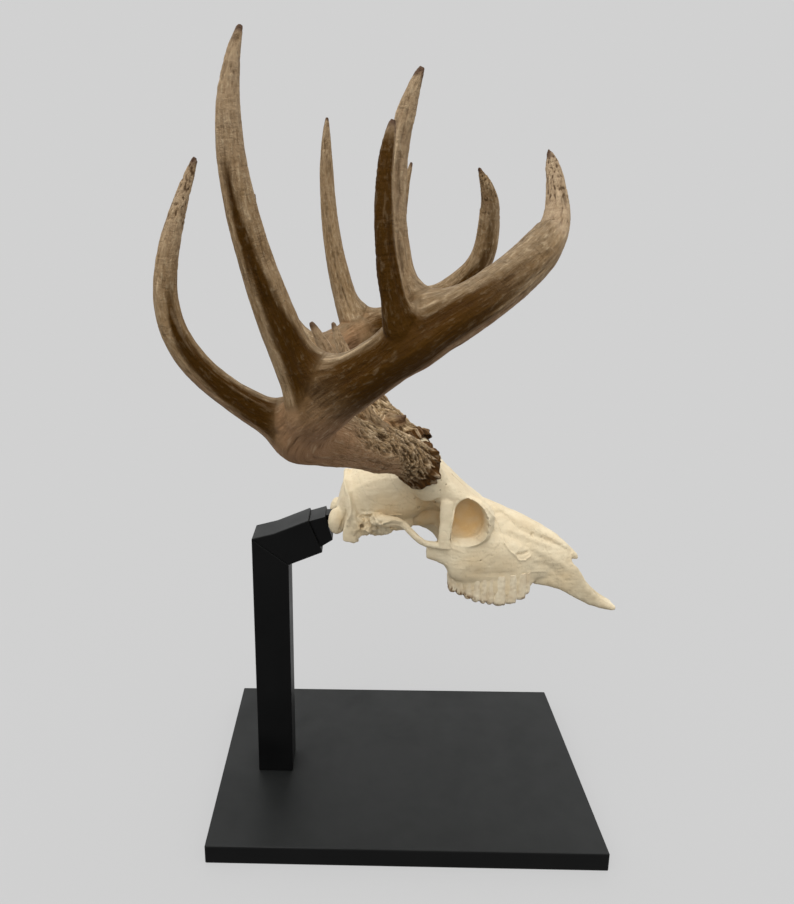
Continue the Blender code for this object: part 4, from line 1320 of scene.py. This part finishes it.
def stem_surface(name, stem, row, outward, seed):
    """What some points on a stem's skin are like.

    It gives how far they stand out, their relief from groove (-1) to ridge (1), their light or dark
    streak (-1 to 1), and from 0 to 1 how much each is dark tip, pearled, pale end, dark face and
    knotted. The dark face is dark brown of its own, with painted shade.
    """
    side = stem.side
    skin = stem.unrolled(row, outward)
    radius = stem.read(stem.radius, row)
    to_tip = stem.length[-1] - skin[:, 2]
    share = stem.share(row)
    is_beam = name == "beam"

    broad = grain(skin, (0.016, 0.016, 0.110), seed)
    lines = grain(skin, (0.0030, 0.0030, 0.026), seed + 2)
    fine = grain(skin, (0.0011, 0.0011, 0.009), seed + 3)
    lift = radius * (0.07 * broad + 0.035 * grain(skin, (0.007, 0.007, 0.070), seed + 1))
    lift += lines * 0.00026 + fine * 0.00016
    relief = 0.36 * lines + 0.36 * fine
    for stem_name, *values in CREASES[side]:
        if stem_name == name:
            more_lift, more_relief = crease(stem, row, outward, *values)
            lift += more_lift
            relief += more_relief

    tilted = skin @ np.array([[1.0, 0.0, 0.35], [0.0, 1.0, 0.35], [-0.45, 0.0, 1.0]])
    lumps = pearls(tilted, (0.0040, 0.0040, 0.0100), seed + 4) - 0.32
    ropes = 1.0 - 4.2 * np.abs(grain(tilted, (0.0050, 0.0050, 0.022), seed + 5))
    threads = 1.0 - 4.2 * np.abs(grain(tilted, (0.0030, 0.0030, 0.014), seed + 9))
    knotty = 0.15 * lumps + 0.60 * np.clip(ropes, -1.0, 1.0) + 0.45 * np.clip(threads, -1.0, 1.0)
    by_burr = eased(share, 0.16, 0.04)
    if is_beam:
        pearled = eased(share, 0.52, 0.42)
    elif name == "brow":
        pearled = 0.55 * eased(share, 0.9, 0.5)
    else:
        pearled = np.zeros(len(skin))
    if is_beam:
        # The underside is smooth, except by the burr.
        edge = 0.05 - 1.0 * by_burr
        knotted = eased(outward[:, 2] + 0.20 * broad, edge - 0.35, edge + 0.20)
        knotted = eased(share, 0.33, 0.20) * (0.15 + 0.85 * knotted)
    else:
        knotted = pearled
    lift += knotted * knotty * 0.0012
    relief = relief * (1 - 0.6 * knotted) + knotted * (1.3 * knotty + 0.15)

    rings = grain(skin, (0.010, 0.010, 0.0020), seed + 6)
    ringed = 0.9 * eased(share, 0.0, 0.3) if name == "brow" else 0.8 * eased(to_tip, 0.190, 0.030)
    ringed *= eased(grain(skin, (0.02, 0.02, 0.02), seed + 11), -0.4, 0.4) * RINGED.get((side, name), 1.0)
    lift += ringed * rings * 0.00022
    relief += ringed * rings * 0.30
    if is_beam:
        start, thinner = TIP_STEP[side]
        edge = share + 0.004 * grain(skin, (0.008, 0.008, 0.05), seed + 12)
        inner = eased(-outward[:, 0], -0.45, 0.20)
        lift -= inner * thinner * eased(edge, start - 0.002, start + 0.006)
        relief -= 0.7 * inner * bell((edge - start - 0.003) / 0.003)

    worn = eased(to_tip, 0.058, 0.030) * PITTED.get(name, 0.4)
    pits = np.clip(grain(skin, (0.0016, 0.0016, 0.0030), seed + 7) - 0.12, 0.0, 1.0)
    lift -= worn * pits * 0.0005
    relief -= worn * pits
    tip = 0.85 * eased(to_tip + 0.004 * grain(skin, 0.005, seed + 8), 0.010, 0.001)
    streak = 0.5 * broad + 0.5 * grain(skin, (0.0022, 0.0022, 0.022), seed + 10)

    paleness, pale_from, pale_full = PALE_ENDS.get((side, name), BROW_PALENESS)
    pale = paleness * eased(share + 0.03 * broad, pale_from, pale_full)
    dark = np.zeros(len(skin))
    if (side, name) in DARK_FACES:
        dark = dark_face(stem, row, outward, streak, *DARK_FACES[side, name])
    return lift, relief, streak, tip, pearled, pale, dark, knotted


def burr_shape(points, foot, rise, radius, seed):
    """How far points are above the burr's seat, and how far the burr's knotted collar pushes them out."""
    from_foot = points - foot
    height = from_foot @ rise
    sideways = from_foot - height[:, None] * rise
    spoke = np.linalg.norm(sideways, axis=1)
    outward = sideways / np.maximum(spoke, 1e-9)[:, None]
    beads = pearls(outward * 0.02 + height[:, None] * rise * 0.45, 0.0062, seed)
    ragged = grain(outward * 0.02, 0.0075, seed + 1)
    middle = 0.0030 + 0.0016 * ragged
    collar = bell((height - middle) / 0.0058)
    edge = radius * (0.88 + 0.13 * beads + 0.07 * ragged)
    push = np.clip(edge - spoke, 0.0, None) * collar
    return height, outward, push, collar, beads


def settle(places, stems, foot, rise, rounds):
    """Draws points onto the smooth joined shape, but leaves those on the flat that it is seated on."""
    for _ in range(rounds):
        found = {name: stem.around(places) for name, stem in stems.items()}
        total, outward = joined(found)
        free = eased((places - foot) @ rise, 0.0, 0.0025)
        places = places - outward * (total * free)[:, None]
    return places, found


def build_antler(side, finish):
    spec = ANTLERS[side]
    stems = antler_stems(spec, side)
    beam = stems["beam"]
    foot, rise = beam.middle[0], beam.along[0]
    rough = rough_antler(stems)
    places, _ = settle(read_vectors(rough, "co"), stems, foot, rise, 4)
    write_places(rough, places)
    mesh = fused(rough, ANTLER_VOXEL, 1)
    places, found = settle(read_vectors(mesh, "co"), stems, foot, rise, 2)
    write_places(mesh, places)

    distances = np.array([distance for _, distance, _ in found.values()])
    weights = np.exp(-(distances - distances.min(axis=0)) / BLEND_REACH)
    weights /= weights.sum(axis=0)
    values = np.zeros((8, len(places)))
    skin = np.zeros((len(places), 3))
    for seed, (weight, name) in enumerate(zip(weights, stems)):
        near = weight > 0.02
        row, _, way = found[name]
        surface = stem_surface(name, stems[name], row[near], way[near], 20 * seed + 5 + 2 * side)
        values[:, near] += weight[near] * np.array(surface)
        nearest = weight == weights.max(axis=0)
        skin[nearest] = stems[name].unrolled(row[nearest], way[nearest]) + 0.5 * (seed + 1)
    lift, relief, streak, tip, pearled, pale, dark, knotted = values

    normals = read_vectors(mesh, "normal")
    height, spokes, push, collar, beads = burr_shape(places, foot, rise, BURR_RADIUS, 5)
    places = places + normals * (lift * eased(height, 0.0, 0.002))[:, None]
    # The collar's lobes hang down a little over the pedicle.
    hang = BURR_HANG[side] * push * (0.30 + 0.30 * beads)
    places = places + spokes * push[:, None] - rise * hang[:, None]
    write_places(mesh, places)

    burr = collar * eased(push, 0.0008, 0.003)
    relief = relief * (1 - burr) + burr * (2.2 * beads - 0.9)
    crust = 0.95 * eased(height + 0.0040 * relief, BURR_CRUST[side], 0.2 * BURR_CRUST[side])
    layer = mesh.attributes.new("skin", "FLOAT_VECTOR", "POINT")
    layer.data.foreach_set("vector", skin.astype(np.float32).ravel())
    # The patterns fade where stems meet and in the beam's bend, where they would tear.
    share = beam.share(found["beam"][0])
    bend = weights[0] * bell((share - BEND_SHARE) / BEND_WIDTH)
    sure = eased(weights.max(axis=0), 0.50, 0.85) * (1 - BEND_FADE * bend)
    tilt = normals[:, 2] + 0.12 * streak
    upward, downward = eased(tilt, 0.25, 0.85), eased(tilt, -0.25, -0.85)
    keep_values(mesh, sure=sure, knotted=knotted, relief=np.clip(relief, -1, 1), streak=streak)
    keep_values(mesh, tip=tip, crust=crust, pale=pale, dark=dark, pearled=pearled)
    keep_values(mesh, upward=upward, downward=downward)
    prefix = "antler_" + SIDE_NAMES[side]
    nodes = sorted(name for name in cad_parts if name.startswith(prefix))
    place_piece(prefix, mesh, finish, "antler", *nodes)


# ---------------------------------------------------------------- stand, stage, light, camera


def finish_stand():
    paint = paint_finish()
    for name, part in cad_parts.items():
        if name.startswith("stand_"):
            part.data.materials.clear()
            part.data.materials.append(paint)


# A pale floor that bends up all round into a backdrop. Most of its grey is its own, so that it looks
# the same all over, and the rest takes the light and the model's soft shadow, out to the fade.
STAGE_GREY = 0.638
STAGE_SHADED = 0.10
STAGE_FADE = (0.5, 1.6)
STAGE_FLAT_RADIUS = 3.0
STAGE_BEND = 2.0
STAGE_TOP = 9.0
STAGE_SIDES = 96
# The room's brightness: level all round, and how much more or less of it comes from each way.
SKY_LEVEL = 0.44
SKY_ABOVE = 1.06
SKY_BELOW = -0.08
SKY_BEHIND = 0.18
SKY_RIGHT = 0.06
SUN_STRENGTH = 1.35
SUN_SPREAD = math.radians(65.0)
SUN_FROM = (-0.30, -0.80, 1.0)


def build_stage():
    bend = [
        (STAGE_FLAT_RADIUS + STAGE_BEND * math.sin(angle), STAGE_BEND * (1 - math.cos(angle)))
        for angle in np.linspace(0.0, math.pi / 2, 33)
    ]
    profile = [(0.4, 0.0), (1.5, 0.0), *bend, (STAGE_FLAT_RADIUS + STAGE_BEND, STAGE_TOP)]
    spokes = [(math.cos(turn), math.sin(turn)) for turn in turns(STAGE_SIDES)]
    bm = bmesh.new()
    loops = open_loft(bm, [[(radius * x, radius * y, z) for x, y in spokes] for radius, z in profile])
    bm.faces.new(loops[0])
    mesh = mesh_from_bmesh(bm, "floor")
    mesh.shade_smooth()
    mesh.materials.append(paper_finish())
    floor = add_object("floor", mesh)
    # The room lights the model straight through it.
    floor.visible_diffuse = False
    floor.visible_glossy = False
    floor.visible_shadow = False


def paper_finish():
    made, tree = new_material("stage_paper")
    # How bright a white floor with nothing on it would be.
    sun = SUN_STRENGTH / math.pi * SUN_FROM[2] / Vector(SUN_FROM).length
    floor_light = SKY_LEVEL + SKY_ABOVE * 2 / 3 + sun
    at = Signal(tree, "ShaderNodeTexCoord", {}, "Object")
    away = Signal(tree, "ShaderNodeVectorMath", {0: at}, "Value", operation="LENGTH")
    shaded = away.ranged(*STAGE_FADE, STAGE_SHADED, 0.0)
    own = away.ranged(*STAGE_FADE, STAGE_GREY - STAGE_SHADED * floor_light, STAGE_GREY)
    colour = Signal(tree, "ShaderNodeCombineColor", {0: shaded, 1: shaded, 2: shaded})
    inputs = tree.nodes["Principled BSDF"].inputs
    tree.links.new(colour.socket, inputs["Base Color"])
    inputs["Roughness"].default_value = 1.0
    inputs["Specular IOR Level"].default_value = 0.0
    inputs["Emission Color"].default_value = (1.0, 1.0, 1.0, 1.0)
    tree.links.new(own.socket, inputs["Emission Strength"])
    return made


def light_scene():
    world = bpy.data.worlds.new("studio")
    world.use_nodes = True
    tree = world.node_tree
    way = Signal(tree, "ShaderNodeTexCoord", {}, "Generated")
    right, behind, up = (Signal(tree, "ShaderNodeSeparateXYZ", {0: way}, axis) for axis in "XYZ")
    above = up.counted("MAXIMUM", up, 0.0)
    below = up.counted("MINIMUM", up, 0.0)
    strength = above * SKY_ABOVE + below * -SKY_BELOW + behind * SKY_BEHIND + right * SKY_RIGHT
    strength = strength + SKY_LEVEL
    background = tree.nodes["Background"]
    background.inputs["Color"].default_value = (1.0, 1.0, 1.0, 1.0)
    tree.links.new(strength.socket, background.inputs["Strength"])
    bpy.context.scene.world = world
    light = bpy.data.lights.new("key", "SUN")
    light.energy = SUN_STRENGTH
    light.angle = SUN_SPREAD
    lamp = bpy.data.objects.new("key", light)
    lamp.rotation_euler = (-Vector(SUN_FROM)).to_track_quat("-Z", "Y").to_euler()
    bpy.context.scene.collection.objects.link(lamp)
    bpy.context.scene.view_settings.view_transform = "Standard"


def add_camera():
    sin_pitch, cos_pitch = math.sin(CAMERA_PITCH), math.cos(CAMERA_PITCH)
    ahead = Vector((math.sin(CAMERA_YAW) * cos_pitch, math.cos(CAMERA_YAW) * cos_pitch, -sin_pitch))
    level = Vector((math.cos(CAMERA_YAW), -math.sin(CAMERA_YAW), 0.0))
    upright = level.cross(ahead)
    right = math.cos(CAMERA_ROLL) * level - math.sin(CAMERA_ROLL) * upright
    up = math.sin(CAMERA_ROLL) * level + math.cos(CAMERA_ROLL) * upright
    camera = bpy.data.cameras.new("camera")
    long_side = max(PICTURE_SIZE)
    camera.sensor_width = SENSOR
    camera.lens = PICTURE_FOCUS / long_side * SENSOR
    camera.shift_x = (PICTURE_SIZE[0] / 2 - PICTURE_AXIS[0]) / long_side
    camera.shift_y = (PICTURE_AXIS[1] - PICTURE_SIZE[1] / 2) / long_side
    made = bpy.data.objects.new("camera", camera)
    turned = Matrix((right, up, -ahead)).transposed().to_4x4()
    made.matrix_world = Matrix.Translation(CAMERA_PLACE) @ turned
    bpy.context.scene.collection.objects.link(made)
    bpy.context.scene.camera = made


def main():
    finish_stand()
    build_skull(bone_finish())
    enamel = tooth_finish()
    antler = antler_finish()
    for side in (RIGHT, LEFT):
        build_teeth(side, enamel)
        build_antler(side, antler)
    build_stage()
    light_scene()
    add_camera()


main()
